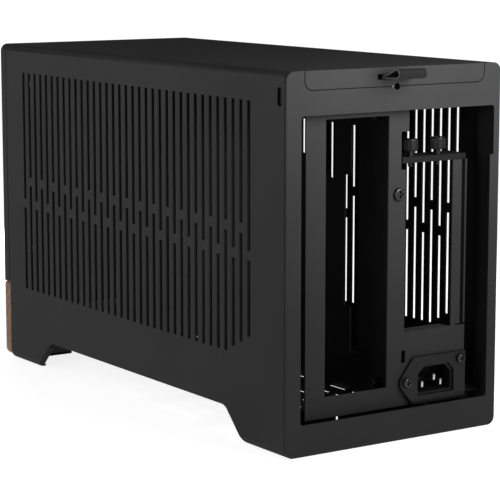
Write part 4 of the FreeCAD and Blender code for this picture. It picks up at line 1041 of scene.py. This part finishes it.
def make_floor():
    bpy.ops.object.select_all(action="DESELECT")
    bpy.ops.mesh.primitive_plane_add(size=80, location=(0, 0, 0))
    floor = bpy.context.active_object
    floor.name = "studio_floor"
    material, tree, shader, place = start_finish("pale_paper", (0.6, 0.6, 0.6), 0.9, specular=0.0)
    reach = add_node(tree, "VectorMath", {0: place}, operation="LENGTH").outputs["Value"]
    near_far = add_node(tree, "MapRange", {"Value": reach}, from_min=GLOW_START, from_max=GLOW_END,
                        to_min=NEAR_GLOW, to_max=FAR_GLOW).outputs["Result"]
    path = add_node(tree, "LightPath").outputs
    seen = add_node(tree, "Math", {0: path["Is Camera Ray"], 1: path["Is Glossy Ray"]}, operation="ADD")
    seen = add_node(tree, "Math", {0: seen.outputs["Value"], 1: path["Is Transmission Ray"]}, operation="ADD")
    glow = add_node(tree, "Math", {0: seen.outputs["Value"], 1: near_far}, operation="MULTIPLY")
    shader.inputs["Emission Color"].default_value = (1, 1, 1, 1)
    tree.links.new(glow.outputs["Value"], shader.inputs["Emission Strength"])
    paint(floor, material)


make_floor()
world = bpy.data.worlds.new("studio_sky")
bpy.context.scene.world = world
world.use_nodes = True
sky = world.node_tree.nodes["Background"]
sky.inputs["Color"].default_value = (1, 1, 1, 1)
sky.inputs["Strength"].default_value = SKY
print("a pale floor under an even sky")

# %% Lamps


def soft_panel(name, place, aim, size, power, beam=180):
    """A square light panel that faces a point; a grid on it narrows its beam, in degrees."""
    bpy.ops.object.light_add(type="AREA", location=place)
    lamp = bpy.context.active_object
    lamp.name = name
    lamp.data.shape = "SQUARE"
    lamp.data.size = size
    lamp.data.energy = power
    lamp.data.spread = math.radians(beam)
    lamp.rotation_euler = (Vector(aim) - Vector(place)).to_track_quat("-Z", "Y").to_euler()
    lamp.visible_camera = False


soft_panel("rear_light", (-0.06, 0.34, 0.28), (0, 0.165, 0.27), 0.18, 1.25)
soft_panel("side_light", (0.45, -0.3, 0.38), (0.0765, 0, 0.36), 0.3, 0.34, beam=100)
soft_panel("fill_light", (0.8, 0.35, 0.3), (0.05, -0.1, 0.1), 0.3, 2.0)
soft_panel("front_light", (-0.15, -0.75, 0.13), (0, -0.18, 0.12), 0.2, 1.8)
soft_panel("left_light", (-0.62, -0.05, 0.13), (-0.0765, 0, 0.12), 0.2, 2.2)
print("five soft panels")

# %% [markdown]
# ## Camera
#
# The photograph was taken with a long lens from behind and to the right of the case, a little above it. The
# place and the aim were fitted to the corners of the case in the picture.

# %% Camera at the photograph's angle
CAMERA_PLACE = (0.7015, 1.0598, 0.2922)
CAMERA_YAW = 0.5911
CAMERA_PITCH = 0.1565
LENS = 144.3

bpy.ops.object.camera_add(location=CAMERA_PLACE)
camera = bpy.context.active_object
camera.name = "portrait_camera"
camera.data.lens = LENS
camera.data.sensor_width = 36
level = math.cos(CAMERA_PITCH)
ahead = Vector((-math.sin(CAMERA_YAW) * level, -math.cos(CAMERA_YAW) * level, -math.sin(CAMERA_PITCH)))
camera.rotation_euler = ahead.to_track_quat("-Z", "Y").to_euler()
bpy.context.scene.camera = camera
bpy.context.scene.view_settings.view_transform = "Standard"
print(f"camera {Vector(CAMERA_PLACE).length:.2f} m from the origin")
